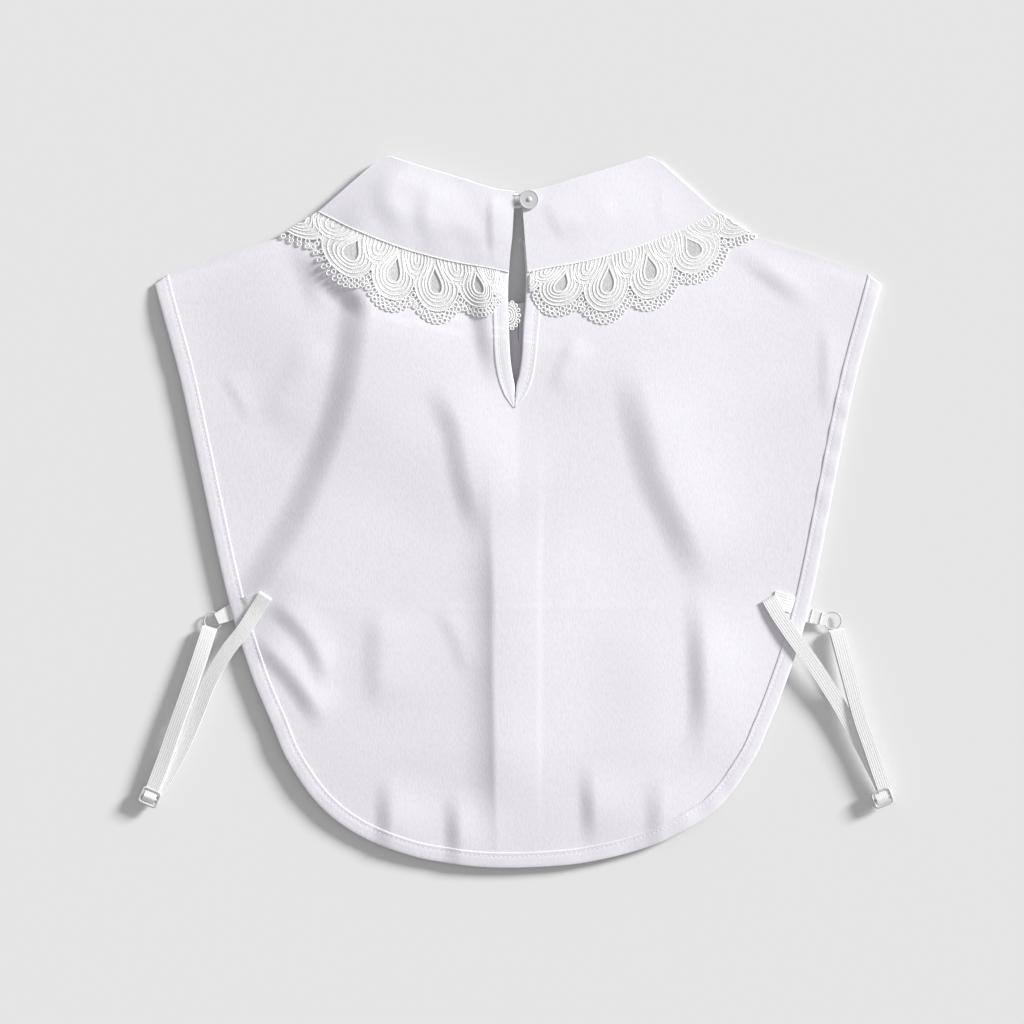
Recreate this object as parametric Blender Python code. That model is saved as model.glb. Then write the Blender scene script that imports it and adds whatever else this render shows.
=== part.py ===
"""A detachable lace collar on a half shirt, laid flat with its back up.

The front panel lies at the bottom, the back panel on it, and the folded collar round both.
Lengths are in millimetres up to the last step, which writes metres.
X runs across the back, Y towards the neck and Z up from the surface that the cloth lies on.
"""
import math

import bmesh
import bpy
import numpy as np
from mathutils import Vector
from mathutils.geometry import delaunay_2d_cdt

MM = 0.001
CLOTH = 1.0                     # wall of every cloth piece
SEAM = 0.3                      # gap between pieces
LAYER = CLOTH + SEAM            # from one layer to the next
STAND_RISE = LAYER / 2          # collar stand's middle above the middle plane
FALL_RISE = STAND_RISE + LAYER  # collar fall's middle above the middle plane
ROLL_RADIUS = LAYER / 2         # the fold at the roll line
PLANE_OPEN = -STAND_RISE + CLOTH / 2     # middle plane where nothing lies below the back
PLANE_PANEL = PLANE_OPEN + LAYER         # over the front panel
PLANE_COLLAR = PLANE_PANEL + LAYER       # over the front panel and the front fall
RAMP = 55.0                     # length over which the cloth comes down from a layer
NECK_GAP = 0.45                 # from the stand's cut edge to the panel's, with room for their facets
BINDING_WIDTH = 7.8
FRONT_INSET = 4.0
PANEL_PITCH = 14.0
EDGE_STEP = 9.0                 # spacing of the points on an outline
SCALLOP_PITCH = 27.0
SCALLOP_DEPTH = 0.23
ELASTIC_WIDTH = 9.0
ELASTIC_STEP = 4.5
LOOP_WIDTH = 5.4                # elastic bunched up in a ring
RING_RADIUS = 6.2
RING_WIRE = 0.6
SLIDER_BAR = 1.2

# The panels' edge from the shoulder's tip to the middle of the hem.
PANEL_SIDE = [
    dict(half_width=192.3, y=119.5),
    dict(half_width=178.8, y=70.0),
    dict(half_width=171.7, y=38.0),
    dict(half_width=159.0, y=-25.6),
    dict(half_width=150.4, y=-58.0),
    dict(half_width=141.5, y=-87.0),
    dict(half_width=131.0, y=-113.0),
    dict(half_width=122.8, y=-131.6),
    dict(half_width=105.7, y=-155.6),
    dict(half_width=85.3, y=-170.3),
    dict(half_width=59.0, y=-181.0),
    dict(half_width=35.0, y=-186.0),
    dict(half_width=0.0, y=-188.3),
]
SHOULDER_TIP = [(191.5, 122.3), (186.5, 126.0)]

# Sections across one collar half: neck seam, roll line, edge of the fall and tip of the lace.
COLLAR_TOP = [
    dict(neck=(3.2, 144.0), roll=(1.6, 169.3), fall=(4.6, 126.8), lace=(4.0, 110.0)),
    dict(neck=(15.0, 145.0), roll=(14.0, 171.3), fall=(16.0, 129.0), lace=(16.0, 100.0)),
    dict(neck=(33.0, 148.0), roll=(33.0, 177.2), fall=(36.0, 133.3), lace=(41.0, 97.3)),
    dict(neck=(52.0, 153.0), roll=(51.0, 182.6), fall=(62.0, 140.8), lace=(74.0, 106.5)),
    dict(neck=(66.0, 157.5), roll=(62.0, 186.0), fall=(86.0, 150.0), lace=(99.0, 122.0)),
]
COLLAR_SIDE = dict(neck=(76.0, 161.0), roll=(70.0, 188.3), fall=(105.5, 158.8), lace=(126.5, 148.0))
COLLAR_UNDER = [
    dict(neck=(75.5, 146.0), roll=(60.5, 160.0), fall=(100.3, 141.3), lace=(127.5, 128.5)),
    dict(neck=(65.0, 124.7), roll=(47.0, 139.0), fall=(81.5, 111.7), lace=(107.4, 91.2)),
    dict(neck=(43.2, 105.0), roll=(30.0, 121.5), fall=(57.5, 87.2), lace=(78.2, 61.4)),
    dict(neck=(21.3, 94.5), roll=(14.0, 113.0), fall=(30.0, 72.0), lace=(42.0, 41.4)),
    dict(neck=(0.6, 91.5), roll=(0.6, 110.0), fall=(8.0, 66.5), lace=(14.0, 34.0)),
]
# The binding of the slit below the neck, one side.
SLIT = [
    dict(inner=3.6, outer=12.5, y=143.6),
    dict(inner=4.4, outer=12.5, y=112.0),
    dict(inner=3.2, outer=11.3, y=81.0),
    dict(inner=1.8, outer=9.0, y=70.0),
    dict(inner=0.15, outer=5.6, y=65.0),
]
SLIT_POINT = (0.15, 55.0)
# Soft ridges pressed into the back panel, highest along the line from one end to the other.
RIDGES = [
    dict(start=(-80.0, 85.0), end=(-95.0, 40.0), reach=13.0, height=1.6),
    dict(start=(-95.0, 40.0), end=(-121.0, -18.0), reach=12.0, height=1.8),
    dict(start=(70.0, 70.0), end=(82.0, 15.0), reach=13.0, height=1.5),
    dict(start=(82.0, 15.0), end=(103.0, -32.0), reach=12.0, height=1.6),
    dict(start=(-11.0, -40.0), end=(-11.0, -150.0), reach=10.0, height=1.1),
    dict(start=(97.0, -70.0), end=(97.0, -118.0), reach=10.0, height=1.4),
]
# The strap's elastic on the right: its middle line, height of the middle, and width.
STRAP_END = [
    dict(x=142.6, y=-50.6, z=3.1, width=ELASTIC_WIDTH),
    dict(x=139.0, y=-49.0, z=3.1, width=ELASTIC_WIDTH),
    dict(x=135.4, y=-47.4, z=3.1, width=ELASTIC_WIDTH),
]
STRAP_OUTER = [
    dict(x=135.4, y=-48.2, z=4.4, width=ELASTIC_WIDTH),
    dict(x=138.4, y=-54.5, z=4.4, width=ELASTIC_WIDTH),
    dict(x=145.0, y=-64.5, z=4.4, width=ELASTIC_WIDTH),
    dict(x=153.0, y=-75.5, z=4.2, width=ELASTIC_WIDTH),
    dict(x=160.0, y=-86.5, z=2.2, width=ELASTIC_WIDTH),
    dict(x=167.5, y=-99.5, z=0.6, width=ELASTIC_WIDTH),
    dict(x=174.5, y=-113.5, z=0.5, width=ELASTIC_WIDTH),
    dict(x=184.0, y=-132.5, z=0.5, width=ELASTIC_WIDTH),
    dict(x=190.9, y=-147.7, z=0.5, width=ELASTIC_WIDTH),
    dict(x=194.2, y=-155.1, z=0.5, width=ELASTIC_WIDTH),
]
STRAP_RETURN = [
    dict(x=194.2, y=-155.1, z=3.3, width=ELASTIC_WIDTH),
    dict(x=191.2, y=-147.9, z=3.3, width=ELASTIC_WIDTH),
    dict(x=187.2, y=-129.0, z=2.6, width=ELASTIC_WIDTH),
    dict(x=182.0, y=-110.0, z=1.9, width=ELASTIC_WIDTH),
    dict(x=177.4, y=-92.0, z=1.8, width=ELASTIC_WIDTH),
    dict(x=173.2, y=-76.0, z=0.9, width=8.0),
    dict(x=169.6, y=-65.5, z=0.5, width=6.4),
    dict(x=168.3, y=-62.4, z=0.5, width=LOOP_WIDTH),
]
STRAP_TOP = [
    dict(x=168.3, y=-62.4, z=3.3, width=LOOP_WIDTH),
    dict(x=169.6, y=-65.5, z=3.3, width=6.4),
    dict(x=173.2, y=-76.0, z=3.2, width=8.0),
    dict(x=177.4, y=-92.0, z=3.2, width=ELASTIC_WIDTH),
    dict(x=182.0, y=-110.0, z=3.3, width=ELASTIC_WIDTH),
    dict(x=187.2, y=-129.0, z=4.0, width=ELASTIC_WIDTH),
    dict(x=191.2, y=-146.0, z=4.7, width=ELASTIC_WIDTH),
]
RING_CENTRE = (166.9, -58.2, 1.9)
TAB_UNDER = [
    dict(x=148.4, y=-54.2, z=0.5, width=ELASTIC_WIDTH),
    dict(x=154.0, y=-55.4, z=0.5, width=ELASTIC_WIDTH),
    dict(x=159.0, y=-56.5, z=0.5, width=6.6),
    dict(x=162.6, y=-57.2, z=0.5, width=LOOP_WIDTH),
]
TAB_OVER = [
    dict(x=162.6, y=-57.2, z=3.3, width=LOOP_WIDTH),
    dict(x=159.0, y=-56.5, z=3.3, width=6.6),
    dict(x=154.6, y=-55.5, z=3.3, width=ELASTIC_WIDTH),
]
SLIDER = dict(x=191.8, y=-149.8, z=1.9, turn=-24.0, length=9.0, width=11.0)
BUTTON_CENTRE = (6.2, 163.5)
BUTTON_PROFILE = [
    dict(radius=0.8, height=0.0),
    dict(radius=0.8, height=1.3),
    dict(radius=5.1, height=1.3),
    dict(radius=5.6, height=1.8),
    dict(radius=5.6, height=2.6),
    dict(radius=5.0, height=3.1),
    dict(radius=3.9, height=2.8),
    dict(radius=1.9, height=2.7),
    dict(radius=1.3, height=3.1),
]
BUTTON_TOP = 3.3
LOOP_WIRE = 0.35

COLOURS = {
    "crepe": ((0.90, 0.89, 0.92), 0.85),
    "crepe_front": ((0.86, 0.85, 0.87), 0.85),
    "collar": ((0.92, 0.91, 0.94), 0.8),
    "lace": ((0.93, 0.93, 0.94), 0.9),
    "elastic": ((0.94, 0.94, 0.93), 0.75),
    "pearl": ((0.93, 0.92, 0.91), 0.2),
    "coated": ((0.93, 0.93, 0.93), 0.35),
}


# ---------------------------------------------------------------- small tools

def unit(vectors):
    """Each vector divided by its length."""
    return vectors / np.linalg.norm(vectors, axis=-1, keepdims=True)


def smooth_curve(points, count):
    """A curve through the points (Catmull-Rom), read at equal parameter steps."""
    known = np.array(points, float)
    padded = np.vstack([2 * known[0] - known[1], known, 2 * known[-1] - known[-2]])
    place = np.linspace(0, len(known) - 1, count)
    left = np.minimum(place.astype(int), len(known) - 2)
    t = (place - left)[:, None]
    a, b, c, d = (padded[left + i] for i in range(4))
    return 0.5 * (2 * b + (c - a) * t + (2 * a - 5 * b + 4 * c - d) * t**2 + (3 * b - a - 3 * c + d) * t**3)


def even_steps(curve, step):
    """The curve read again at about equal distances."""
    lengths = np.r_[0, np.cumsum(np.linalg.norm(np.diff(curve, axis=0), axis=1))]
    count = max(2, int(round(lengths[-1] / step)) + 1)
    wanted = np.linspace(0, lengths[-1], count)
    return np.column_stack([np.interp(wanted, lengths, curve[:, i]) for i in range(curve.shape[1])])


def mirrored(points, side):
    """Points given for the right side, on the side asked for (+1 right, -1 left)."""
    return [(side * x, y) for x, y in points]


def distance_to_line(points, line):
    """Distance from each point to the nearest place on an open polyline."""
    start, step = line[:-1], np.diff(line, axis=0)
    offset = points[:, None, :] - start[None]
    along = np.clip((offset * step).sum(2) / np.maximum((step**2).sum(1), 1e-9), 0, 1)
    return np.linalg.norm(offset - along[..., None] * step[None], axis=2).min(1)


def inside(points, polygon):
    """Whether each point is inside a closed polygon (crossing count)."""
    x, y = points[:, 0, None], points[:, 1, None]
    x0, y0 = polygon[:, 0], polygon[:, 1]
    x1, y1 = np.roll(x0, -1), np.roll(y0, -1)
    crosses = (y0 > y) != (y1 > y)
    meets = x0 + (y - y0) * (x1 - x0) / np.where(y1 == y0, 1e-9, y1 - y0)
    return (crosses & (x < meets)).sum(1) % 2 == 1


def ease(t):
    """Smooth step from 0 at t = 0 to 1 at t = 1."""
    t = np.clip(t, 0, 1)
    return t * t * (3 - 2 * t)


def material(name):
    """A Principled material in the finish's colour, made once."""
    known = bpy.data.materials.get(name)
    if known:
        return known
    colour, roughness = COLOURS[name]
    made = bpy.data.materials.new(name)
    made.use_nodes = True
    shader = made.node_tree.nodes["Principled BSDF"]
    shader.inputs["Base Color"].default_value = (*colour, 1.0)
    shader.inputs["Roughness"].default_value = roughness
    shader.inputs["Metallic"].default_value = 0.0
    return made


def solid(name, points, faces, finish):
    """One object from points in millimetres and its faces, turned to face outwards."""
    mesh = bpy.data.meshes.new(name)
    mesh.from_pydata([tuple(float(c) * MM for c in p) for p in points], [], faces)
    body = bmesh.new()
    body.from_mesh(mesh)
    bmesh.ops.recalc_face_normals(body, faces=body.faces[:])
    body.to_mesh(mesh)
    body.free()
    mesh.materials.append(material(finish))
    made = bpy.data.objects.new(name, mesh)
    bpy.context.scene.collection.objects.link(made)
    return made


# ---------------------------------------------------------------- cloth walls

def flat_wall(name, outline, height, finish, pitch):
    """A wall of cloth inside an outline: triangles on a staggered grid, at a height for each point."""
    edge = np.array(outline, float)
    tall = pitch * math.sqrt(3) / 2
    low = np.floor(edge.min(0) / (pitch, tall)).astype(int) - 1
    high = np.ceil(edge.max(0) / (pitch, tall)).astype(int) + 1
    row, column = np.mgrid[low[1]:high[1], low[0]:high[0]]
    grid = np.column_stack([((column + row % 2 / 2) * pitch).ravel(), (row * tall).ravel()])
    closed = np.vstack([edge, edge[:1]])
    grid = grid[inside(grid, edge) & (distance_to_line(grid, closed) > 0.42 * pitch)]
    flat = np.vstack([edge, grid])
    loop = [(i, (i + 1) % len(edge)) for i in range(len(edge))]
    found = delaunay_2d_cdt([Vector(p) for p in flat], loop, [], 1, 1e-5)
    plan = np.array([tuple(p) for p in found[0]])
    triangles = [tuple(f) for f in found[2]]
    middle = height(plan)
    count = len(plan)
    upper = np.column_stack([plan, middle + CLOTH / 2])
    lower = np.column_stack([plan, middle - CLOTH / 2])
    used = {}
    for face in triangles:
        for i in range(3):
            pair = (face[i], face[(i + 1) % 3])
            used[tuple(sorted(pair))] = None if tuple(sorted(pair)) in used else pair
    walls = [(b, a, a + count, b + count) for a, b in (p for p in used.values() if p)]
    under = [tuple(i + count for i in reversed(face)) for face in triangles]
    return solid(name, np.vstack([upper, lower]), triangles + under + walls, finish)


def tangents(grid, axis):
    """Unit direction of the grid's lines at each point, halfway between its two steps."""
    step = unit(np.diff(grid, axis=axis))
    before = np.concatenate([np.take(step, [0], axis), step], axis)
    after = np.concatenate([step, np.take(step, [-1], axis)], axis)
    return unit(before + after)


def grid_wall(name, middle, thickness, finish):
    """A wall round a grid of points on its middle surface: half its thickness to each side."""
    normal = unit(np.cross(tangents(middle, 0), tangents(middle, 1)))
    rows, columns = middle.shape[:2]
    upper = (middle + normal * thickness / 2).reshape(-1, 3)
    lower = (middle - normal * thickness / 2).reshape(-1, 3)
    number = np.arange(rows * columns).reshape(rows, columns)
    quads = np.stack([number[:-1, :-1], number[1:, :-1], number[1:, 1:], number[:-1, 1:]], -1).reshape(-1, 4)
    rim = np.r_[number[0, :], number[1:, -1], number[-1, -2::-1], number[-2:0:-1, 0]]
    following = np.roll(rim, -1)
    count = rows * columns
    walls = np.stack([rim, following, following + count, rim + count], -1)
    faces = [tuple(map(int, f)) for f in np.vstack([quads, quads[:, ::-1] + count, walls])]
    return solid(name, np.vstack([upper, lower]), faces, finish)


# ---------------------------------------------------------------- where the layers lie

def collar_curve(rows, part):
    """One line of the collar through its sections, such as its roll line."""
    return [row[part] for row in rows]


def front_collar_outline(side):
    """Outline of the front fall and its lace, under the front panel."""
    rows = [COLLAR_SIDE] + COLLAR_UNDER
    roll = smooth_curve(mirrored(collar_curve(rows, "roll"), side), 24)
    lace = smooth_curve(mirrored(collar_curve(rows, "lace"), side), 24)
    return np.vstack([roll, lace[::-1]])


FRONT_COLLARS = [front_collar_outline(side) for side in (1, -1)]


def neck_outline():
    """The hole inside the roll line, closed well above the back of the neck."""
    rows = [COLLAR_SIDE] + COLLAR_UNDER
    right = smooth_curve(mirrored(collar_curve(rows, "roll"), 1), 24)
    left = smooth_curve(mirrored(collar_curve(rows, "roll"), -1), 24)
    above = np.array([(-70.0, 215.0), (70.0, 215.0)])
    return np.vstack([right, left[::-1], above])


NECK = neck_outline()


def middle_plane(plan):
    """Height of the plane between front and back: it rises over the layers that lie below."""
    away = np.full(len(plan), np.inf)
    for outline in FRONT_COLLARS:
        closed = np.vstack([outline, outline[:1]])
        gap = np.where(inside(plan, outline), 0, distance_to_line(plan, closed))
        away = np.minimum(away, gap)
    base = np.where(inside(plan, NECK), PLANE_OPEN, PLANE_PANEL)
    return PLANE_COLLAR + (base - PLANE_COLLAR) * ease(away / RAMP)


def ridges(plan):
    """Height of the back panel's soft ridges: a bell across each line, fading past its ends."""
    total = np.zeros(len(plan))
    for row in RIDGES:
        line = np.array([row["start"], row["end"]])
        total = np.maximum(total, row["height"] * np.exp(-(distance_to_line(plan, line) / row["reach"]) ** 2))
    return total


def front_height(plan):
    return middle_plane(plan) - STAND_RISE


def back_height(plan):
    return middle_plane(plan) + STAND_RISE + ridges(plan)


def binding_height(plan):
    return back_height(plan) + LAYER


# ---------------------------------------------------------------- panels and bindings

def side_edge(inset):
    """The panels' right edge from the shoulder's tip to the middle of the hem, moved inwards."""
    curve = even_steps(smooth_curve([(row["half_width"], row["y"]) for row in PANEL_SIDE], 120), EDGE_STEP)
    if inset:
        along = tangents(curve, 0)
        curve = curve + inset * np.column_stack([along[:, 1], -along[:, 0]])
        curve[-1, 0] = 0.0
    return curve


def half_neckline(rows, gap):
    """Neck seam from the middle to the side, a gap outside the collar's stand."""
    neck = even_steps(smooth_curve(collar_curve(rows, "neck"), 40), EDGE_STEP)
    along = tangents(neck, 0)
    return neck + gap * np.column_stack([along[:, 1], -along[:, 0]])


def slit_edge(part, gap):
    """One line of the slit's binding from the neck down, moved outwards by a gap."""
    return [(row[part] + gap, row["y"]) for row in SLIT]


def panel_outline(middle_part, neckline, inset):
    """A symmetric panel: down the right side, up the left, over the shoulders and round the neck."""
    right = side_edge(inset)
    tip = np.array(SHOULDER_TIP[::-1]) - (inset, inset * 0.3)
    shoulder = even_steps(np.vstack([neckline[-1:], tip[:1]]), EDGE_STEP)
    half = np.vstack([middle_part, neckline[:-1], shoulder, tip[1:], right[:-1]])
    first = int(half[0, 0] == 0.0)
    left = half[first:][::-1] * (-1, 1)
    return np.vstack([half, right[-1:], left])


def build_back_panel():
    neckline = half_neckline(COLLAR_TOP + [COLLAR_SIDE], NECK_GAP)
    cut = np.array([(0.0, SLIT_POINT[1] - 0.8)] + slit_edge("outer", SEAM)[::-1])
    cut[-1, 1] = np.interp(cut[-1, 0], neckline[:, 0], neckline[:, 1])
    neckline = neckline[neckline[:, 0] > cut[-1, 0] + 1.0]
    outline = panel_outline(even_steps(cut, EDGE_STEP), neckline, 0.0)
    return flat_wall("back_panel", outline, back_height, "crepe", PANEL_PITCH)


def build_front_panel():
    rows = [COLLAR_SIDE] + COLLAR_UNDER
    neckline = half_neckline(rows[::-1], NECK_GAP)
    neckline[0, 0] = 0.0
    outline = panel_outline(neckline[:1], neckline[1:], FRONT_INSET)
    return flat_wall("front_panel", outline, front_height, "crepe_front", PANEL_PITCH)


def build_back_binding():
    """A strip laid along the back's edge, from one shoulder round the hem to the other."""
    outer = side_edge(0.1)
    inner = side_edge(BINDING_WIDTH)
    inner[0] += (0.6, 3.2)
    outer = np.vstack([[SHOULDER_TIP[0]], outer])
    half = np.vstack([outer[:-1], outer[-1:]])
    back = inner[::-1]
    right = np.vstack([half, (outer * (-1, 1))[::-1][1:]])
    left = np.vstack([(inner * (-1, 1)), back[1:]])
    return flat_wall("back_binding", np.vstack([right, left]), binding_height, "crepe", BINDING_WIDTH)


def build_slit_binding(name, side):
    """One folded strip beside the slit, ending in a point on the middle line."""
    outer = np.array(slit_edge("outer", 0.0) + [SLIT_POINT])
    inner = np.array(slit_edge("inner", 0.0))
    loop = np.vstack([even_steps(outer, EDGE_STEP), even_steps(inner[::-1], EDGE_STEP)]) * (side, 1)
    return flat_wall(name, loop, back_height, "crepe", PANEL_PITCH)


# ---------------------------------------------------------------- collar and lace

def across(first, second):
    """Outward direction at the side fold, square to the line from first to second."""
    line = unit(np.array(second, float) - np.array(first, float))
    return np.array([-line[1], line[0]])


OUTWARD = {
    "neck": -across(COLLAR_SIDE["neck"], COLLAR_SIDE["roll"]),
    "roll": across(COLLAR_SIDE["roll"], COLLAR_SIDE["fall"]),
    "fall": across(COLLAR_SIDE["roll"], COLLAR_SIDE["fall"]),
    "lace": across(COLLAR_SIDE["fall"], COLLAR_SIDE["lace"]),
}


def side_point(part):
    """A side section's point, moved in from the fold by the fold's radius."""
    return np.array(COLLAR_SIDE[part]) - OUTWARD[part] * FALL_RISE


def collar_sections(part, top_count, turn_count, under_count):
    """One line of the collar from the back's middle, round the side fold, to the front's middle.

    Gives plan points, outward directions and the angle round the fold, 90 on top to -90 below.
    """
    top = smooth_curve(collar_curve(COLLAR_TOP, part) + [tuple(side_point(part))], top_count)
    under = smooth_curve([tuple(side_point(part))] + collar_curve(COLLAR_UNDER, part), under_count)
    turn = np.repeat(side_point(part)[None], turn_count, 0)
    plan = np.vstack([top, turn, under])
    step = 180.0 / (turn_count + 1)
    angle = np.r_[np.full(top_count, 90.0), 90 - step * np.arange(1, turn_count + 1), np.full(under_count, -90.0)]
    return plan, OUTWARD[part], np.radians(angle)


def raise_section(plan, outward, angle, rise):
    """Plan points put at their height: on top, below, or round the side fold."""
    flat = plan + outward * (rise * np.cos(angle))[:, None]
    return np.column_stack([flat, middle_plane(plan) + rise * np.sin(angle)])


def build_collar(name, side):
    """Stand and fall in one piece: up from the neck seam, over the roll line and down to the edge."""
    counts = (12, 5, 14)
    neck, neck_out, angle = collar_sections("neck", *counts)
    roll, _, _ = collar_sections("roll", *counts)
    fall, fall_out, _ = collar_sections("fall", *counts)
    to_neck, to_fall = unit(neck - roll), unit(fall - roll)
    lines = []
    for part in (0.0, 1.0):
        end = roll + to_neck * ROLL_RADIUS
        lines.append((neck + (end - neck) * part, neck_out, STAND_RISE))
    for degrees in (36, 72, 108, 144, 180):
        turn = math.radians(degrees)
        share = degrees / 180
        inwards = unit(to_neck * (1 - share) + to_fall * share)
        outward = unit(neck_out * (1 - share) + fall_out * share)
        place = roll + inwards * ROLL_RADIUS * (1 - math.sin(turn))
        lines.append((place, outward, STAND_RISE + ROLL_RADIUS * (1 - math.cos(turn))))
    for part in (0.34, 0.67, 1.0):
        start = roll + to_fall * ROLL_RADIUS
        lines.append((start + (fall - start) * part, fall_out, FALL_RISE))
    grid = np.stack([raise_section(plan, out, angle, rise) for plan, out, rise in lines], 1)
    return grid_wall(name, grid * (side, 1, 1), CLOTH, "collar")


def build_lace(name, side):
    """Scalloped edging: from the fall's edge outwards, its reach falling between the scallops."""
    counts = (29, 5, 37)
    fall, fall_out, angle = collar_sections("fall", *counts)
    lace, lace_out, _ = collar_sections("lace", *counts)
    run = np.r_[0, np.cumsum(np.linalg.norm(np.diff(fall, axis=0), axis=1))]
    scallop = np.abs(np.sin(math.pi * run / SCALLOP_PITCH)) ** 0.6
    reach = 1 - SCALLOP_DEPTH * (1 - scallop)
    away = unit(lace - fall)
    start = fall + away * 0.45
    lines = []
    for part in (0.0, 0.5, 1.0):
        plan = start + (lace - start) * (part * reach)[:, None]
        outward = unit(fall_out * (1 - part) + lace_out * part)
        lines.append(raise_section(plan, outward, angle, FALL_RISE))
    return grid_wall(name, np.stack(lines, 1) * (side, 1, 1), CLOTH, "lace")


# ---------------------------------------------------------------- button and loop

def top_of_collar(x, y):
    """Height of the fall's upper face at one place."""
    return float(middle_plane(np.array([[x, y]]))[0]) + FALL_RISE + CLOTH / 2


def build_button():
    """A turned disc with a rolled rim and a small dome, on a thread shank."""
    sides = 28
    x, y = BUTTON_CENTRE
    base = top_of_collar(x, y) + SEAM
    turn = np.linspace(0, 2 * math.pi, sides, endpoint=False)
    rings = [(x + row["radius"] * np.cos(turn), y + row["radius"] * np.sin(turn), row["height"]) for row in BUTTON_PROFILE]
    points = [(px, py, base + height) for xs, ys, height in rings for px, py in zip(xs, ys)]
    points += [(x, y, base), (x, y, base + BUTTON_TOP)]
    bottom, top = len(points) - 2, len(points) - 1
    last = (len(rings) - 1) * sides
    faces = []
    for i in range(sides):
        j = (i + 1) % sides
        faces += [(k * sides + i, k * sides + j, k * sides + sides + j, k * sides + sides + i) for k in range(len(rings) - 1)]
        faces += [(bottom, j, i), (top, last + i, last + j)]
    return solid("button", points, faces, "pearl")


def tube(name, path, radius, finish, closed=False, sides=10):
    """A round wire along a path that lies level."""
    line = np.array(path, float)
    if closed:
        step = np.roll(line, -1, 0) - np.roll(line, 1, 0)
    else:
        step = np.gradient(line, axis=0)
    along = unit(step)
    sideways = unit(np.cross(along, (0.0, 0.0, 1.0)))
    turn = np.linspace(0, 2 * math.pi, sides, endpoint=False)
    rings = line[:, None] + radius * (
        np.cos(turn)[None, :, None] * sideways[:, None] + np.sin(turn)[None, :, None] * np.array([0, 0, 1.0])
    )
    count = len(line)
    last = count if closed else count - 1
    faces = []
    for i in range(last):
        j = (i + 1) % count
        faces += [(i * sides + k, i * sides + (k + 1) % sides, j * sides + (k + 1) % sides, j * sides + k) for k in range(sides)]
    if not closed:
        faces += [tuple(range(sides)), tuple(range((count - 1) * sides, count * sides))[::-1]]
    return solid(name, rings.reshape(-1, 3), faces, finish)


def build_button_loop():
    """A thread hairpin from the left half's edge round the button's shank."""
    x, y = BUTTON_CENTRE
    base = top_of_collar(x, y) + SEAM + LOOP_WIRE
    reach = 0.8 + SEAM + LOOP_WIRE
    turn = np.radians(np.linspace(75, -75, 9))
    bend = [(x + reach * math.cos(t), y + reach * math.sin(t), base) for t in turn]
    start = [(-3.6, y + 2.9, base), (-1.0, y + 2.7, base), (2.5, y + 1.9, base)]
    end = [(px, 2 * y - py, pz) for px, py, pz in start[::-1]]
    return tube("button_loop", start + bend + end, LOOP_WIRE, "elastic")


# ---------------------------------------------------------------- straps

def ribbon(name, legs, side):
    """Flat elastic along legs that lie level, joined end to end by folds standing upright.

    Each leg's width lies square to it in plan, and turns round with every fold.
    """
    centres, widths = [], []
    sign = 1.0
    for index, leg in enumerate(legs):
        rows = np.array([(row["x"], row["y"], row["z"], row["width"]) for row in leg])
        rows = even_steps(smooth_curve(rows, 12 * len(rows)), ELASTIC_STEP)
        rows[:, 2] = np.maximum(rows[:, 2], CLOTH / 2)
        along = tangents(rows[:, :2], 0)
        across_leg = np.column_stack([-along[:, 1], along[:, 0]]) * sign
        width = across_leg * rows[:, 3:4] / 2
        if index:
            low, high = centres[-1], rows[0, :3]
            middle, radius = (low + high) / 2, abs(high[2] - low[2]) / 2
            outward = unit(old_along + -along[0])
            for degrees in (45, 90, 135):
                turn = math.radians(degrees)
                share = degrees / 180
                lift = -math.cos(turn) * radius * np.sign(high[2] - low[2])
                plan = low[:2] * (1 - share) + high[:2] * share + outward * radius * math.sin(turn)
                centres.append(np.array([*plan, middle[2] + lift]))
                widths.append(widths[-1] * (1 - share) + width[0] * share)
        centres += list(rows[:, :3])
        widths += list(width)
        old_along = along[-1]
        sign = -sign
    centre = np.array(centres)
    half = np.column_stack([np.array(widths), np.zeros(len(widths))])
    grid = np.stack([centre - half, centre + half], 1)
    return grid_wall(name, grid * (side, 1, 1), CLOTH, "elastic")


def build_ring(name, side):
    """A round coated ring that lies level between the elastic's layers."""
    x, y, z = RING_CENTRE
    turn = np.linspace(0, 2 * math.pi, 28, endpoint=False)
    path = [(side * x + RING_RADIUS * math.cos(t), y + RING_RADIUS * math.sin(t), z) for t in turn]
    return tube(name, path, RING_WIRE, "coated", closed=True, sides=8)


def build_slider(name, side):
    """A slider of three bars between two rails, as a plate of cells with two windows left out."""
    length, width, bar = SLIDER["length"], SLIDER["width"], SLIDER_BAR
    window = (length - 3 * bar) / 2
    cuts_x = np.array([0, bar, width - bar, width]) - width / 2
    cuts_y = np.cumsum([0, bar, window, bar, window, bar]) - length / 2
    turn = math.radians(SLIDER["turn"]) * -side
    points, number = [], {}

    def corner(i, j, level):
        key = (i, j, level)
        if key not in number:
            x, y = cuts_x[i], cuts_y[j]
            number[key] = len(points)
            points.append((
                side * SLIDER["x"] + x * math.cos(turn) - y * math.sin(turn),
                SLIDER["y"] + x * math.sin(turn) + y * math.cos(turn),
                SLIDER["z"] + (level - 0.5) * bar,
            ))
        return number[key]

    def filled(i, j):
        return 0 <= i < 3 and 0 <= j < 5 and not (i == 1 and j in (1, 3))

    faces = []
    for i in range(3):
        for j in range(5):
            if not filled(i, j):
                continue
            ring = [(i, j), (i + 1, j), (i + 1, j + 1), (i, j + 1)]
            faces.append(tuple(corner(*c, 1) for c in ring))
            faces.append(tuple(corner(*c, 0) for c in ring[::-1]))
            beyond = [(i, j - 1), (i + 1, j), (i, j + 1), (i - 1, j)]
            for k, other in enumerate(beyond):
                if not filled(*other):
                    a, b = ring[k], ring[(k + 1) % 4]
                    faces.append((corner(*a, 0), corner(*b, 0), corner(*b, 1), corner(*a, 1)))
    return solid(name, points, faces, "coated")


# ---------------------------------------------------------------- all of it

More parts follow.
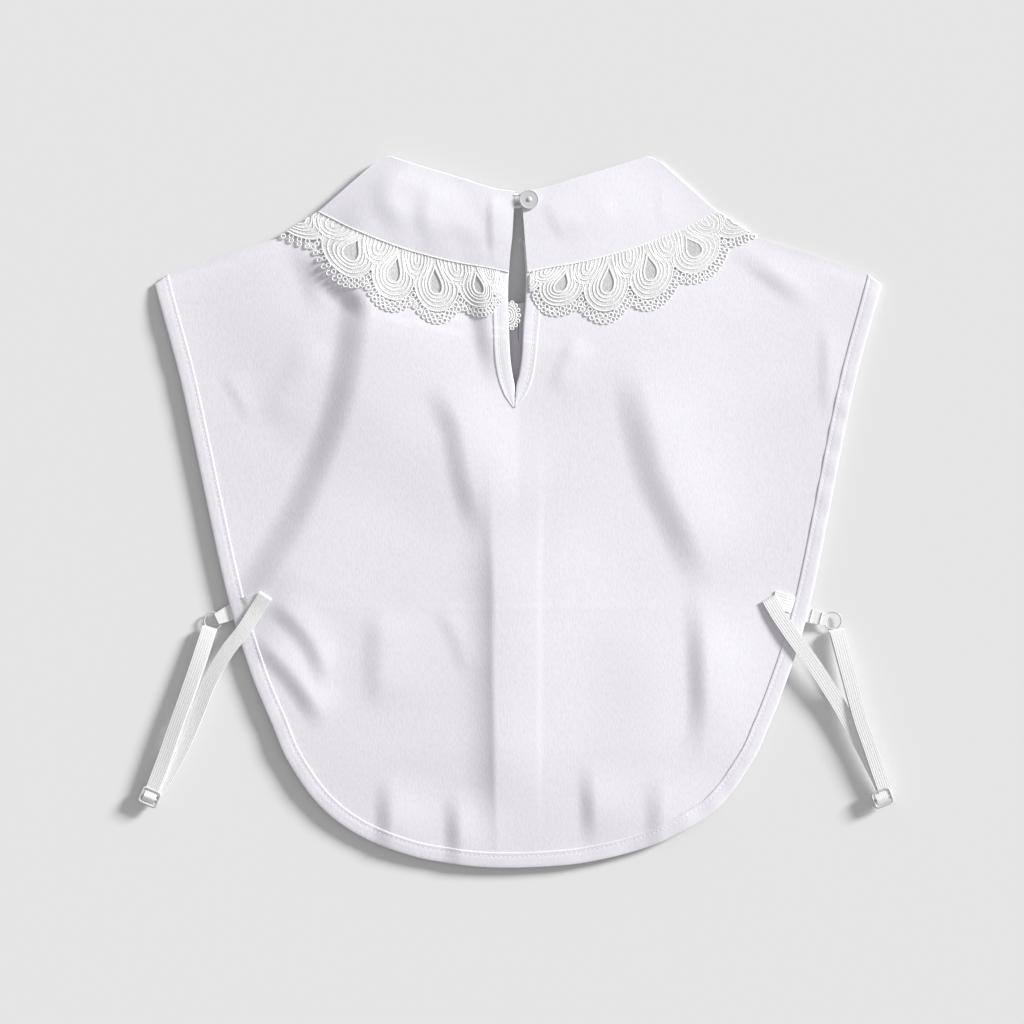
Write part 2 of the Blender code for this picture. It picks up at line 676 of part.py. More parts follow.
def clear_scene():
    for old in list(bpy.data.objects):
        bpy.data.objects.remove(old, do_unlink=True)


def build():
    clear_scene()
    build_front_panel()
    build_back_panel()
    build_back_binding()
    build_button()
    build_button_loop()
    for word, side in (("left", -1), ("right", 1)):
        build_slit_binding("slit_binding_" + word, side)
        build_collar("collar_" + word, side)
        build_lace("lace_" + word, side)
        ribbon("strap_" + word, [STRAP_END, STRAP_OUTER, STRAP_RETURN, STRAP_TOP], side)
        ribbon("tab_" + word, [TAB_UNDER, TAB_OVER], side)
        build_ring("ring_" + word, side)
        build_slider("slider_" + word, side)


build()
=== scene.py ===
"""Lace collar: a false collar with a short back and front, lying flat with its back up.

Laid out as a Blender add-on and run as a script. Lengths in the tables and functions are in
millimetres; x runs across the garment, y towards the neck, z up from the surface it lies on.
"""

import math

import bmesh
import bpy
import numpy as np
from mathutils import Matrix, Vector


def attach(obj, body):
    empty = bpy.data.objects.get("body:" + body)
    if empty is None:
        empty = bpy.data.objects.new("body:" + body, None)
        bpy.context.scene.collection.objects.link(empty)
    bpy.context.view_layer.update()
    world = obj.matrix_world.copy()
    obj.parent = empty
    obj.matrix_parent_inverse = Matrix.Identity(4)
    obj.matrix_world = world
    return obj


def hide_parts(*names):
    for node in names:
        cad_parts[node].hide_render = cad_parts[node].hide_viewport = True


bl_info = {
    "name": "Lace collar",
    "version": (1, 0, 0),
    "blender": (4, 5, 0),
    "location": "3D View > Sidebar > Lace collar",
    "description": "Builds a lace-edged false collar: panels, collar, lace, bindings, straps and button",
    "category": "Add Mesh",
}

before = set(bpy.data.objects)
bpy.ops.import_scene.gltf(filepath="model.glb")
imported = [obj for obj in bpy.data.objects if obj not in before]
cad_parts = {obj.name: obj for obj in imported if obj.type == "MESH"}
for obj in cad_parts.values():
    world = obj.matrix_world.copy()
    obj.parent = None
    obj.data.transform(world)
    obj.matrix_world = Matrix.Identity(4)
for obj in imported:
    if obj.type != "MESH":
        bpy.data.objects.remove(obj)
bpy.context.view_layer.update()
MM = 0.001

# ---------------------------------------------------------------- sizes

# Edge of the garment from the middle of the hem up to the tip of the shoulder.
EDGE = {
    1: [(0, -188.3), (18, -187.4), (36, -185.4), (62.4, -179.3), (84.2, -170.3), (106.4, -155.7),
        (123.9, -131.8), (132, -114.5), (139.8, -95), (149.9, -65.3), (157.2, -36), (165.4, 5),
        (172.6, 42), (180.2, 76.5), (192.4, 120.2)],
    -1: [(0, -188.3), (17, -188), (34, -186.2), (57, -181.8), (84, -171.2), (105, -155.4),
         (121.6, -132.2), (131, -110.5), (140.6, -87.5), (150, -58.5), (156.6, -33), (164.6, 4),
         (172.2, 40), (180, 75), (192.5, 120.6)],
}
# Seam lines of one half, from the middle outwards; the slit's two sides run up from its end.
SHOULDER = [(76.0, 161.0), (104.0, 152.3), (129.2, 144.2), (158.0, 135.0), (186.0, 126.0)]
BACK_NECK = [(5.2, 144.0), (15.0, 145.0), (33.0, 148.0), (52.0, 153.0), (66.0, 157.5), (76.0, 161.0)]
FRONT_NECK = [(0.0, 91.5), (21.3, 94.5), (43.2, 105.0), (65.0, 124.7), (75.5, 146.0), (76.0, 161.0)]
SLIT_CUT = {
    1: [(-1.9, 60.0), (1.6, 68.0), (3.6, 81.0), (4.9, 96.0), (5.6, 112.0), (5.2, 144.0)],
    -1: [(1.9, 60.0), (3.4, 68.0), (6.0, 81.0), (6.9, 96.0), (7.2, 112.0), (5.2, 144.0)],
}
SLIT_END = (-1.9, 60.0)
FRONT_MIDDLE = [(0.0, -184.3), (0.0, -60.0), (0.0, 91.5)]
BACK_MIDDLE = [(0.0, -187.0), (-1.0, -60.0), SLIT_END]
FRONT_INSET, BACK_INSET = 4.0, 1.3
PANEL_CORNER = -156.0           # height at which a panel's lower edge turns into its side
# the last of these is the thickness of the dark sheet of painted shadow in the lace's teardrops
CLOTH_WALL, GROUND_WALL, SHADOW_SHEET_WALL = 0.3, 0.25, 0.1

# The collar's cut from the back's middle outwards: neck seam, roll line and edge of the fall.
COLLAR_BACK = [
    dict(neck=(3.2, 144.0), roll=(1.6, 169.3), fall=(4.9, 126.6)),
    dict(neck=(15.0, 145.0), roll=(14.0, 171.3), fall=(16.0, 129.0)),
    dict(neck=(33.0, 148.0), roll=(33.0, 177.2), fall=(36.0, 132.6)),
    dict(neck=(52.0, 153.0), roll=(51.0, 182.6), fall=(62.0, 139.6)),
    dict(neck=(66.0, 157.5), roll=(62.5, 186.2), fall=(86.0, 149.0)),
    dict(neck=(71.0, 159.2), roll=(69.0, 187.9), fall=(96.0, 153.9)),
]
COLLAR_SIDE = dict(neck=(76.0, 161.0), roll=(75.2, 185.2), fall=(105.5, 158.8), lace=(126.9, 145.6))
COLLAR_FRONT = [
    dict(neck=(75.5, 146.0), roll=(60.5, 160.0), fall=(100.3, 141.3), lace=(127.5, 128.5)),
    dict(neck=(65.0, 124.7), roll=(47.0, 139.0), fall=(81.5, 111.7), lace=(107.4, 91.2)),
    dict(neck=(43.2, 105.0), roll=(30.0, 121.5), fall=(57.5, 87.2), lace=(78.2, 61.4)),
    dict(neck=(21.3, 94.5), roll=(14.0, 113.0), fall=(30.0, 72.0), lace=(42.0, 41.4)),
    dict(neck=(0.15, 91.5), roll=(0.15, 110.0), fall=(8.0, 66.5), lace=(14.0, 34.0)),
]
# Heights of the collar's two layers over the middle plane, and how open its roll is.
STAND_RISE, FALL_RISE, ROLL_RADIUS = 0.65, 1.9, 0.2
MOTTLING = {1: 0.04, -1: 0.2}   # the left half of the collar is more crumpled
FALL_SWELL, FALL_DROOP = 0.6, 0.6      # the fall arches up, and its edge sinks onto the lace
PRESSED_CLEAR, PRESSED_STEP = 0.1, 0.2  # heights that keep the collar's layers in order where it is flat
SUPPORT = 0.06                  # share of a step at which a line is doubled beside the side fold
SIDE_BULGE = 0.02               # the side fold is pressed flat to this share of a half circle
# The plane between back and front: over the front panel, over the front's collar, and the ramp between.
PANEL_PLANE, COLLAR_PLANE, RAMP = 1.15, 2.45, 55.0
FRONT_OPEN_PLANE = -0.15        # the front's plane where it lies straight on the surface
FRONT_CLEAR = 0.35              # the front's middle stays this far over the bindings' lowest height
SEAM_CLOSED, SEAM_WIDTH = 0.35, 9.0  # the panels close in towards the shoulder's seam

# Scallops of the lace on the back: where each one's middle meets the fall, and where its tip lies.
SCALLOPS = {
    1: [dict(seam=(5.0, 127.0), tip=(-4.0, 114.0)), dict(seam=(26.9, 131.0), tip=(15.9, 103.3)),
        dict(seam=(48.3, 135.6), tip=(45.6, 98.2)), dict(seam=(67.2, 141.4), tip=(73.4, 106.4)),
        dict(seam=(86.3, 149.1), tip=(102.0, 123.4))],
    -1: [dict(seam=(9.4, 127.4), tip=(6.2, 106.5)), dict(seam=(23.4, 130.2), tip=(17.0, 102.4)),
         dict(seam=(44.5, 134.7), tip=(42.8, 98.2)), dict(seam=(62.3, 139.7), tip=(70.6, 105.6)),
         dict(seam=(82.5, 147.6), tip=(96.2, 120.4))],
}
SIDE_SCALLOP, SIDE_TURN = 5.0, 0.12   # the scallop at the side fold, and how far each way it turns
FRONT_SCALLOPS = 7
LACE_RISE = 0.98
LACE_LIFT = {1: 0.15, -1: 0.2}  # how far the tips stand off the back
LACE_SWELL = {1: 0.75, -1: 0.6}  # how far the lace arches up between seam and tips
LACE_ARCH = 0.9                 # share of its reach over which it does
LACE_START = {1: 5.9, -1: 8.9}  # the lace stops at the edge of the slit's binding
LACE_FIRST = {1: 0.12, -1: 0.02}
BINDING_REACH = 1.2             # scallops up to this number meet the slit's binding
SHADOW_SHEET_DROP = 0.2                  # a dark sheet of painted shadow in the teardrops' openings lies this far under the ground
SLIT_LACE = (-5.4, 103.6, 7.2)  # middle of the end of lace in the slit
SLIT_RING = (0.95, 143.5, 3.9)  # small ring of thread in the slit
# Distances from the fall to the tips, and the pitch of the scallops at both.
REACH, SEAM_PITCH, TIP_PITCH = 33.0, 20.6, 30.0
# One scallop of the lace, as half widths at distances from the seam.
TEARDROP = [(0.0, 4.6), (1.1, 7.2), (2.7, 10.2), (3.75, 13.2), (3.3, 16.2), (1.8, 17.7), (0.0, 18.1)]
ARCHES = [
    [(1.5, 2.6), (3.3, 7.0), (5.1, 10.8), (5.75, 14.4), (4.9, 17.6), (2.7, 19.4), (0.0, 19.9)],
    [(1.5, 0.0), (2.2, 3.5), (4.4, 8.0), (6.9, 11.8), (7.5, 15.0), (6.3, 18.6), (3.4, 21.0), (0.0, 21.7)],
    [(3.3, 0.0), (4.0, 3.5), (6.5, 8.0), (9.0, 11.3), (9.8, 15.0), (8.5, 19.5), (4.8, 22.9), (0.0, 23.9)],
    [(10.4, 11.6), (11.6, 13.4), (12.0, 16.0), (10.6, 20.4), (6.2, 24.8), (0.0, 26.1)],
]
ROSETTE = [
    [(1.0, 0.0), (1.1, 3.2), (0.7, 5.0), (0.0, 5.6)],
    [(3.1, 0.0), (3.1, 4.4), (2.0, 7.2), (0.0, 8.2)],
    [(5.1, 0.0), (5.0, 5.2), (3.2, 9.2), (0.0, 10.6)],
    [(7.1, 0.0), (6.9, 6.0), (4.5, 11.0), (0.0, 12.9)],
]
GROUND_EDGE = [(0.0, 26.8), (6.3, 25.5), (9.0, 22.8), (11.2, 19.6), (12.3, 16.6), (13.2, 15.2)]
# Picots: those on the middle line or shared by two scallops, and those with a twin on the other side.
PICOTS_ALONE = [(0.0, 28.5), (13.2, 20.6), (13.0, 17.6), (13.9, 23.4)]
PICOTS_TWIN = [(2.95, 28.1), (5.8, 27.0), (8.4, 25.2), (10.6, 22.9), (1.47, 31.1), (4.4, 30.6), (7.2, 29.4),
               (9.8, 27.7), (12.1, 25.6)]
PICOT_RADIUS, PICOT_WIRE = 1.16, 0.38
PICOT_LIFT, PICOT_FLATNESS, PICOT_MARGIN, PICOT_CLEAR = 0.06, 0.6, 0.1, 1.2
CORD_LIFT, CORD_FLATNESS, CORD_TWIST = 0.2, 0.36, 1.05

# The binding of the slit: its inner and outer edge, from the neck down to the point.
SLIT_BINDING = {
    1: dict(inner=[(2.6, 144.0), (3.9, 127.0), (3.7, 112.0), (2.5, 96.5), (1.8, 82.5), (0.5, 73.0),
                   (-1.1, 66.5), (-1.6, 60.5), (-1.9, 55.2)],
            outer=[(12.2, 145.0), (12.2, 127.0), (12.0, 110.0), (10.8, 96.5), (9.7, 84.0), (8.4, 74.5),
                   (6.4, 66.6), (3.2, 60.6), (-1.7, 54.8)]),
    -1: dict(inner=[(3.4, 144.0), (5.0, 127.0), (5.4, 112.0), (4.9, 96.5), (4.3, 82.5), (3.1, 73.0),
                    (1.9, 66.5), (2.0, 60.5), (2.2, 55.2)],
             outer=[(13.2, 145.0), (13.4, 127.0), (13.4, 112.0), (13.1, 96.5), (12.5, 82.0), (10.8, 71.0),
                    (7.8, 62.4), (5.2, 58.4), (2.4, 54.8)]),
}
# Waves that keep lines and surfaces from being too even: height, shortest and longest wave.
FOLD_WANDER, BACK_DRIFT, COLLAR_WAVES = (0.8, 50, 160), (0.06, 30, 110), (14, 46)
# Folds pressed into the back, each along a line: its height, the width over which the cloth climbs
# to it from the left, and how far it spreads on the right. A crease climbs ever faster up to its line.
FOLDS = [
    dict(line=[(-78, 138), (-86, 110), (-89, 86), (-93.5, 59), (-104, 30), (-117, 1), (-131, -23),
               (-156, -62)],
         height=3.5, climb=19, spread=60, ends=4.5),
    dict(line=[(-75, 101), (-88, 111), (-102, 123), (-114, 135)], height=2.8, climb=13, spread=36, ends=3.4),
    dict(line=[(-123, 146), (-114, 127), (-106, 102)], height=1.2, climb=14, spread=16, ends=2.2),
    dict(line=[(-50, 72), (-43.5, 57), (-37, 43), (-32, 22), (-26.5, 1), (-20, -18)],
         height=1.8, climb=14, spread=30),
    dict(line=[(-26, 142), (-22, 114), (-18, 90), (-13, 60)], height=2.2, climb=11, spread=40, ends=2.2),
    dict(line=[(-16, 34), (-14, 0), (-12.6, -57), (-12.4, -100), (-12.2, -147), (-12, -200)],
         height=2.3, climb=24, spread=48, crease=True),
    dict(line=[(11.6, 60), (11.8, 0), (11.6, -90), (11.2, -192)], height=-0.16, climb=2.4, spread=10),
    dict(line=[(32, 96), (22, 78), (15, 62)], height=0.6, climb=9, spread=12),
    dict(line=[(56, 86), (60, 60), (64.5, 38), (70, 17), (79.5, -4), (90, -26), (101, -50)],
         height=2.6, climb=20, spread=36),
    dict(line=[(90, -36), (93, -62), (93.6, -90), (93.2, -112), (88, -138)],
         height=2.3, climb=13, spread=30, ends=2.2),
    dict(line=[(-137, -46), (-122, -58), (-110, -74), (-103, -96)], height=1.5, climb=11, spread=13),
    dict(line=[(-144, -62), (-133, -76), (-120, -92), (-104, -118)], height=1.9, climb=12, spread=16),
    dict(line=[(-72, -136), (-72.5, -188)], height=1.7, climb=11, spread=24, ends=2.0),
    dict(line=[(-36, -143), (-36.3, -196)], height=1.8, climb=11, spread=22, ends=2.0),
    dict(line=[(36.5, -128), (36.8, -182)], height=1.6, climb=11, spread=26, ends=2.0),
    dict(line=[(72.5, -134), (72.3, -188)], height=1.2, climb=11, spread=24, ends=2.0),
    dict(line=[(158, 108), (134, 124), (108, 142)], height=2.6, climb=12, spread=34, ends=2.0),
    dict(line=[(46, -30), (50, -80), (50, -120), (44, -176)], height=1.5, climb=56, spread=64, ends=2.4),
    dict(line=[(-112, 96), (-120, 74), (-138, 48)], height=0.7, climb=18, spread=20),
    dict(line=[(-158, 74), (-150, 62), (-141, 44)], height=0.35, climb=7, spread=10),
    dict(line=[(161, 104), (160, 46)], height=0.5, climb=7, spread=9),
    dict(line=[(-76, -46), (-77, -108)], height=0.9, climb=14, spread=22),
    dict(line=[(-46, -50), (-35, -66), (-28, -88)], height=0.5, climb=10, spread=12),
    dict(line=[(-116, -48.6), (-40, -49.4), (40, -49.4), (116, -48.6)], height=0.11, climb=1.6, spread=2.2),
]
COLLAR_FOLDS = [
    dict(line=[(-13.5, 186), (-14, 168), (-14.5, 150), (-12, 112)], height=0.6, climb=5, spread=20),
    dict(line=[(-20, 142), (-19, 130), (-20, 116)], height=0.7, climb=8, spread=10),
    dict(line=[(-66, 192), (-72, 166), (-62, 140)], height=0.6, climb=14, spread=20),
    dict(line=[(-44, 182), (-52, 160), (-50, 130)], height=0.5, climb=10, spread=14),
    dict(line=[(-125, 132), (-86, 166), (-46, 201)], height=0.45, climb=18, spread=60, ends=5.0),
    dict(line=[(72, 186), (74, 166), (73, 146)], height=0.35, climb=6, spread=12),
    dict(line=[(10, 168), (16, 156), (24, 140)], height=0.4, climb=8, spread=16),
    dict(line=[(50, 168), (36, 158), (22, 154)], height=0.35, climb=8, spread=12),
]
# Air under the back: an even layer, less near the neck, and a crown along the middle.
LOFT = dict(height=1.4, loss=0.5, start=100.0, length=60.0)
CROWN = dict(height=3.4, middle=-6.0, reach=108.0, power=1.7, loss=0.9)
CROWN_TOP = (150.0, 60.0)       # the crown sinks between these heights on the way up to the neck
CROWN_FOOT = (-194.0, -120.0)   # and runs out towards the hem
SLIT_LINE = [(0.0, 56.0), (1.5, 100.0), (3.0, 172.0)]
SLIT_PRESS = dict(width=24.0, loss=0.15)   # the slit's bindings press on the air below
SLIT_BULGE = dict(width=14.0, height=2.3)  # and the layers below bulge up behind it
# The air under the back runs out towards the collar's sides and the shoulders.
PRESSED_LINE = [(70.0, 188.3), (105.5, 158.8), (126.9, 145.6), (192.0, 121.4)]
SUNK_WIDTH, SUNK_DEPTH, SUNK_CLOSE = 90.0, 1.65, 0.72
PRESSED_WIDTH = {1: 48.0, -1: 17.0}
PRESSED_KEPT = {1: 0.45, -1: 0.0}      # share of the air that stays at the shoulder's tip
TIP_START, TIP_LENGTH = 120.0, 40.0
FOLDS_START = {1: 34.0, -1: 14.0}
HEM_WIDTH = 8.3
HEM_END, HEM_END_POINTS = (185.2, 125.8), 24   # inner corner of the hem at the shoulder's tip
HEM_RIPPLE = 0.1
LOWEST = 0.1                    # bindings stay this far above the surface
# Cross-sections of the bindings: share of the width from the outer edge, and height over the panel.
HEM_PROFILE = [(0.15, -1.6), (0.06, -1.5), (0.01, -1.0), (0.0, -0.2), (0.01, 0.3), (0.05, 0.42), (0.25, 0.46),
               (0.5, 0.48), (0.7, 0.47), (0.745, 0.4), (0.79, 0.47), (0.88, 0.51), (0.95, 0.5),
               (0.985, 0.42), (1.0, 0.26), (0.7, 0.22), (0.4, 0.22), (0.16, 0.22)]
SLIT_PROFILE = [(0.0, 0.2), (0.0, 0.32), (0.03, 0.46), (0.08, 0.5), (0.14, 0.45), (0.24, 0.43), (0.32, 0.35),
                (0.4, 0.43), (0.6, 0.48), (0.86, 0.5), (0.95, 0.44), (0.99, 0.25), (1.0, -0.1), (0.95, -0.35),
                (0.86, -0.3), (0.8, 0.2)]

# Elastic of each strap: middle line and width, from under the hem to the slider and back.
STRAPS = {
    1: dict(
        under=[(149.5, -51.0, 2.6, 8.6), (142.8, -48.6, 4.0, 8.8), (134.6, -46.0, 4.6, 8.8)],
        outer=[(132.2, -45.6, 5.4, 7.6), (137.4, -54.6, 6.0, 7.6), (146.0, -67.2, 6.2, 7.6),
               (156.2, -81.0, 5.6, 7.6), (163.9, -92.9, 5.0, 7.5), (170.3, -103.2, 4.4, 7.4),
               (180.1, -121.2, 4.0, 7.4), (190.0, -140.6, 3.4, 7.2), (195.2, -152.4, 3.0, 6.8)],
        inner=[(195.4, -152.4, 4.0, 6.6), (192.4, -143.6, 4.8, 7.0), (186.2, -125.7, 5.6, 6.8),
               (180.6, -109.8, 5.9, 6.8), (175.9, -91.6, 5.6, 7.2), (171.6, -75.0, 5.0, 7.4),
               (168.4, -62.4, 4.0, 7.6)],
        ring=(166.4, -57.6), tab=[(146.0, -52.6), (163.8, -57.2)], slider=(192.4, -151.2, -22.0),
    ),
    -1: dict(
        under=[(148.6, -51.4, 2.6, 8.8), (143.2, -49.2, 4.0, 9.0), (135.2, -46.6, 4.6, 9.0)],
        outer=[(133.0, -43.8, 5.4, 7.6), (138.8, -52.8, 6.0, 7.6), (145.6, -63.2, 6.2, 7.6),
               (153.8, -73.6, 5.6, 7.6), (162.9, -89.4, 5.0, 7.5), (170.6, -108.6, 4.4, 7.4),
               (177.7, -124.6, 4.0, 7.4), (187.4, -142.6, 3.4, 7.2), (194.2, -152.6, 3.0, 6.8)],
        inner=[(196.4, -152.4, 4.0, 6.6), (193.0, -145.4, 4.8, 7.2), (186.9, -129.8, 5.6, 7.2),
               (180.8, -112.5, 5.9, 7.4), (174.7, -95.5, 5.6, 7.6), (168.9, -78.6, 5.0, 7.6),
               (163.4, -61.4, 4.0, 7.4)],
        ring=(161.6, -57.8), tab=[(146.5, -50.6), (159.6, -56.8)], slider=(194.8, -150.8, -24.0),
    ),
}
STRAP_LEAN = {1: 0.04, -1: 0.2}  # how far each strap leans over, in radians
RIBS, RIB_HEIGHT, SELVEDGE_HEIGHT, ELASTIC_THICKNESS = 6, 0.09, 0.1, 0.5
TAB_RUN = [(0.0, 2.4, 8.4), (0.5, 2.8, 8.0), (1.0, 3.0, 6.0)]  # share along, height, width
OVER_BAR = [(-2.9, 4.1), (-2.0, 4.9), (0.0, 5.65), (2.0, 4.9), (2.9, 4.1)]  # distance along, height
RING_HEIGHT = 2.1
SLIDER = dict(length=4.9, width=4.0, rounding=0.32, frame=0.72, bar=0.6, height=4.7)
RING_RADIUS, RING_WIRE = 4.6, 0.42
BUTTON_CENTRE = (5.7, 164.9)
BUTTON_PROFILE = [(0.0, 0.1), (3.8, 0.0), (4.9, 0.3), (5.2, 0.8), (5.15, 1.2), (4.9, 1.42), (4.6, 1.42),
                  (4.35, 1.3), (3.2, 1.26), (1.7, 1.26), (1.35, 1.34), (1.15, 1.55), (0.7, 1.8), (0.3, 1.88),
                  (0.0, 1.9)]
# Stitches: length, gap, radius and how far they slant, in radians.
STITCHES = dict(hem=(1.5, 1.0, 0.15), slit=(1.7, 0.8, 0.13), fall=(1.5, 0.4, 0.2, 0.7),
                tack=(0.34, 0.14, 0.55, 1.35))
TACK_SHARES = (0.52, 0.8)       # where the right tab is sewn down, as shares of its length
# Thread loop of the button, with heights from the button's foot.
BUTTON_LOOP = [(-5.0, 161.2, -2.0), (-2.0, 161.0, -0.7), (1.4, 161.4, -0.1), (3.2, 164.2, 0.0),
               (1.4, 167.0, -0.1), (-2.0, 167.4, -0.7), (-5.0, 167.2, -2.0)]
LOOP_STRAND, LOOP_TWIST, LOOP_PITCH = 0.36, 0.32, 2.4

# Light from low on the upper right, an even room, and a long lens straight above; metres and degrees.
SUN = dict(energy=5.35, spread=13.0, bearing=30.0, height=19.5)
ROOM_LIGHT = 0.44
FLOOR_SIZE = 12.0
VIEW = dict(distance=1.6, width=0.5427, sensor=36.0, x=-0.0033, y=-0.0001)

# ---------------------------------------------------------------- shared shapes


def unit(vectors):
    """Each vector divided by its length."""
    return vectors / np.maximum(np.linalg.norm(vectors, axis=-1, keepdims=True), 1e-9)


def ease(t):
    """Smooth step: three t squared less two t cubed, held at 0 and 1 outside."""
    t = np.clip(t, 0, 1)
    return t * t * (3 - 2 * t)


def spline(knots, at):
    """Catmull-Rom curve through the knots, read at fractional knot numbers."""
    knots = np.asarray(knots, float)
    padded = np.vstack([2 * knots[:1] - knots[1:2], knots, 2 * knots[-1:] - knots[-2:-1]])
    at = np.clip(np.asarray(at, float), 0, len(knots) - 1)
    cell = np.minimum(at.astype(int), len(knots) - 2)
    t = (at - cell)[..., None]
    before, first, second, after = (padded[cell + i] for i in range(4))
    return 0.5 * (2 * first + (second - before) * t + (2 * before - 5 * first + 4 * second - after) * t**2
                  + (3 * first - before - 3 * second + after) * t**3)


def lengths_along(path):
    """Distance from the start of a path to each of its points."""
    return np.r_[0, np.cumsum(np.linalg.norm(np.diff(path, axis=0), axis=1))]


def resample(path, count):
    """The same path with its points evenly spaced."""
    run = lengths_along(path)
    even = np.linspace(0, run[-1], count)
    return np.stack([np.interp(even, run, column) for column in path.T], 1)


def smooth_curve(points, count):
    """Even points along a Catmull-Rom curve through the given ones."""
    dense = spline(points, np.linspace(0, len(points) - 1, 24 * len(points)))
    return resample(dense, count)


def flipped(points, side):
    """Table points with x towards the given side."""
    table = np.array(points, float)
    table[:, 0] *= side
    return table


def distance_to_line(points, line):
    """Signed distance to a polyline, positive on the left of its direction, and the share along it."""
    start, step = line[:-1], np.diff(line, axis=0)
    offset = points[:, None, :] - start[None]
    along = np.clip((offset * step).sum(2) / np.maximum((step**2).sum(1), 1e-9), 0, 1)
    away = offset - along[..., None] * step[None]
    gap = np.linalg.norm(away, axis=2)
    near = gap.argmin(1)
    rows = np.arange(len(points))
    share = (near + along[rows, near]) / len(step)
    ahead = step[near]
    turn = ahead[:, 0] * offset[rows, near][:, 1] - ahead[:, 1] * offset[rows, near][:, 0]
    return gap[rows, near] * np.sign(turn), share


def inside(points, polygon):
    """Whether each point is inside a closed polygon, by counting crossings."""
    x, y = points[:, 0, None], points[:, 1, None]
    x0, y0 = polygon[:, 0], polygon[:, 1]
    x1, y1 = np.roll(x0, -1), np.roll(y0, -1)
    crosses = (y0 > y) != (y1 > y)
    meets = x0 + (y - y0) * (x1 - x0) / np.where(y1 == y0, 1e-9, y1 - y0)
    return (crosses & (x < meets)).sum(1) % 2 == 1


def front_outline(side):
    """Outline of the front fall with its lace, which lies under the front panel."""
    rows = [COLLAR_SIDE] + COLLAR_FRONT
    roll = smooth_curve(flipped([row["roll"] for row in rows], side), 24)
    lace = smooth_curve(flipped([row["lace"] for row in rows], side), 24)
    return np.vstack([roll, lace[::-1]])


def neck_opening():
    """The opening inside the front's roll line."""
    rows = [COLLAR_SIDE] + COLLAR_FRONT
    right = smooth_curve([row["roll"] for row in rows], 24)
    left = right[::-1] * (-1, 1)
    return np.vstack([right, left, [(-70.0, 215.0), (70.0, 215.0)]])


FRONT_OUTLINES = [front_outline(side) for side in (1, -1)]
NECK = neck_opening()


def sunk(plan):
    """1 along the right side of the collar, where its layers lie close together, easing to 0 away from it."""
    gap = np.abs(distance_to_line(plan, np.array(PRESSED_LINE[:3]))[0])
    return 1 - ease(gap / SUNK_WIDTH)


def middle_plane(plan, open_plane=1.9):
    """Height of the plane between back and front: an eased ramp up over each layer that lies below."""
    away = np.full(len(plan), np.inf)
    for outline in FRONT_OUTLINES:
        closed = np.vstack([outline, outline[:1]])
        gap = np.abs(distance_to_line(plan, closed)[0])
        away = np.minimum(away, np.where(inside(plan, outline), 0, gap))
    base = np.where(inside(plan, NECK), open_plane, PANEL_PLANE)
    ramp = ease(away / RAMP)
    return COLLAR_PLANE + (base - COLLAR_PLANE) * ramp - SUNK_DEPTH * sunk(plan) * (1 - ramp)


def folds(plan, rows):
    """Sum of soft folds: an eased climb across each line, then a bell falling away to its right,
    eased in and out along the line."""
    total = np.zeros(len(plan))
    plan = plan + np.stack([drift(plan, *FOLD_WANDER, seed) for seed in (11, 12)], 1)
    for row in rows:
        line = smooth_curve(row["line"], 20)
        if line[-1, 1] < line[0, 1]:
            line = line[::-1]
        gap, share = distance_to_line(plan, line)
        right = -gap
        fade = ease(np.minimum(share, 1 - share) * row.get("ends", 3.0))
        if row.get("crease"):
            climb = np.clip(right / row["climb"] + 1, 0, 1) ** 3
        else:
            climb = ease(right / row["climb"] + 0.5)
        total += row["height"] * climb * np.exp(-((np.clip(right, 0, None) / row["spread"]) ** 2)) * fade
    return total


def loft(plan):
    """Air under the back: a bell of the distance from its middle on top of an even layer, both
    running out as a quarter sine towards the collar's sides and the shoulders."""
    away = np.abs(plan[:, 0] - CROWN["middle"]) / CROWN["reach"]
    top, low = CROWN_TOP
    loss = CROWN["loss"]
    bell = CROWN["height"] * np.exp(-(away ** CROWN["power"]))
    bell = bell * (1 - loss * ease((plan[:, 1] - low) / (top - low)))
    foot, rise = CROWN_FOOT
    bell = bell * (1 - loss + loss * ease((plan[:, 1] - foot) / (rise - foot)))
    air = LOFT["height"] * (1 - LOFT["loss"] * ease((plan[:, 1] - LOFT["start"]) / LOFT["length"]))
    height = air + bell * bpy.context.scene.lace_collar.fold_depth
    gap = distance_to_line(plan, np.array(SLIT_LINE))[0]
    height = height * (1 - SLIT_PRESS["loss"] * np.exp(-((gap / SLIT_PRESS["width"]) ** 2)))
    for side, width in PRESSED_WIDTH.items():
        gap = np.abs(distance_to_line(plan, flipped(PRESSED_LINE, side))[0])
        kept = PRESSED_KEPT[side] * ease((np.abs(plan[:, 0]) - TIP_START) / TIP_LENGTH)
        height = height * (kept + (1 - kept) * np.sin(np.clip(gap / width, 0, 1) * math.pi / 2))
    return height


def front_lift(plan):
    """How far the layers under the back bulge up behind the slit: a bell of the distance from it."""
    gap = distance_to_line(plan, np.array(SLIT_LINE))[0]
    return SLIT_BULGE["height"] * np.exp(-((gap / SLIT_BULGE["width"]) ** 2))


def fold_share(plan):
    """Share of the folds' height: they die out within a little way of the collar's sides and shoulders."""
    share = np.ones(len(plan))
    for side in (1, -1):
        gap = np.abs(distance_to_line(plan, flipped(PRESSED_LINE, side))[0])
        share = np.minimum(share, ease(gap / FOLDS_START[side]))
    return share


def seam_share(plan):
    """Share of a panel's distance from the middle plane: it closes towards the shoulder's seam."""
    share = np.ones(len(plan))
    for side in (1, -1):
        gap = np.abs(distance_to_line(plan, flipped(SHOULDER + [EDGE[1][-1]], side))[0])
        share = np.minimum(share, SEAM_CLOSED + (1 - SEAM_CLOSED) * ease(gap / SEAM_WIDTH))
    return share * (1 - SUNK_CLOSE * sunk(plan))


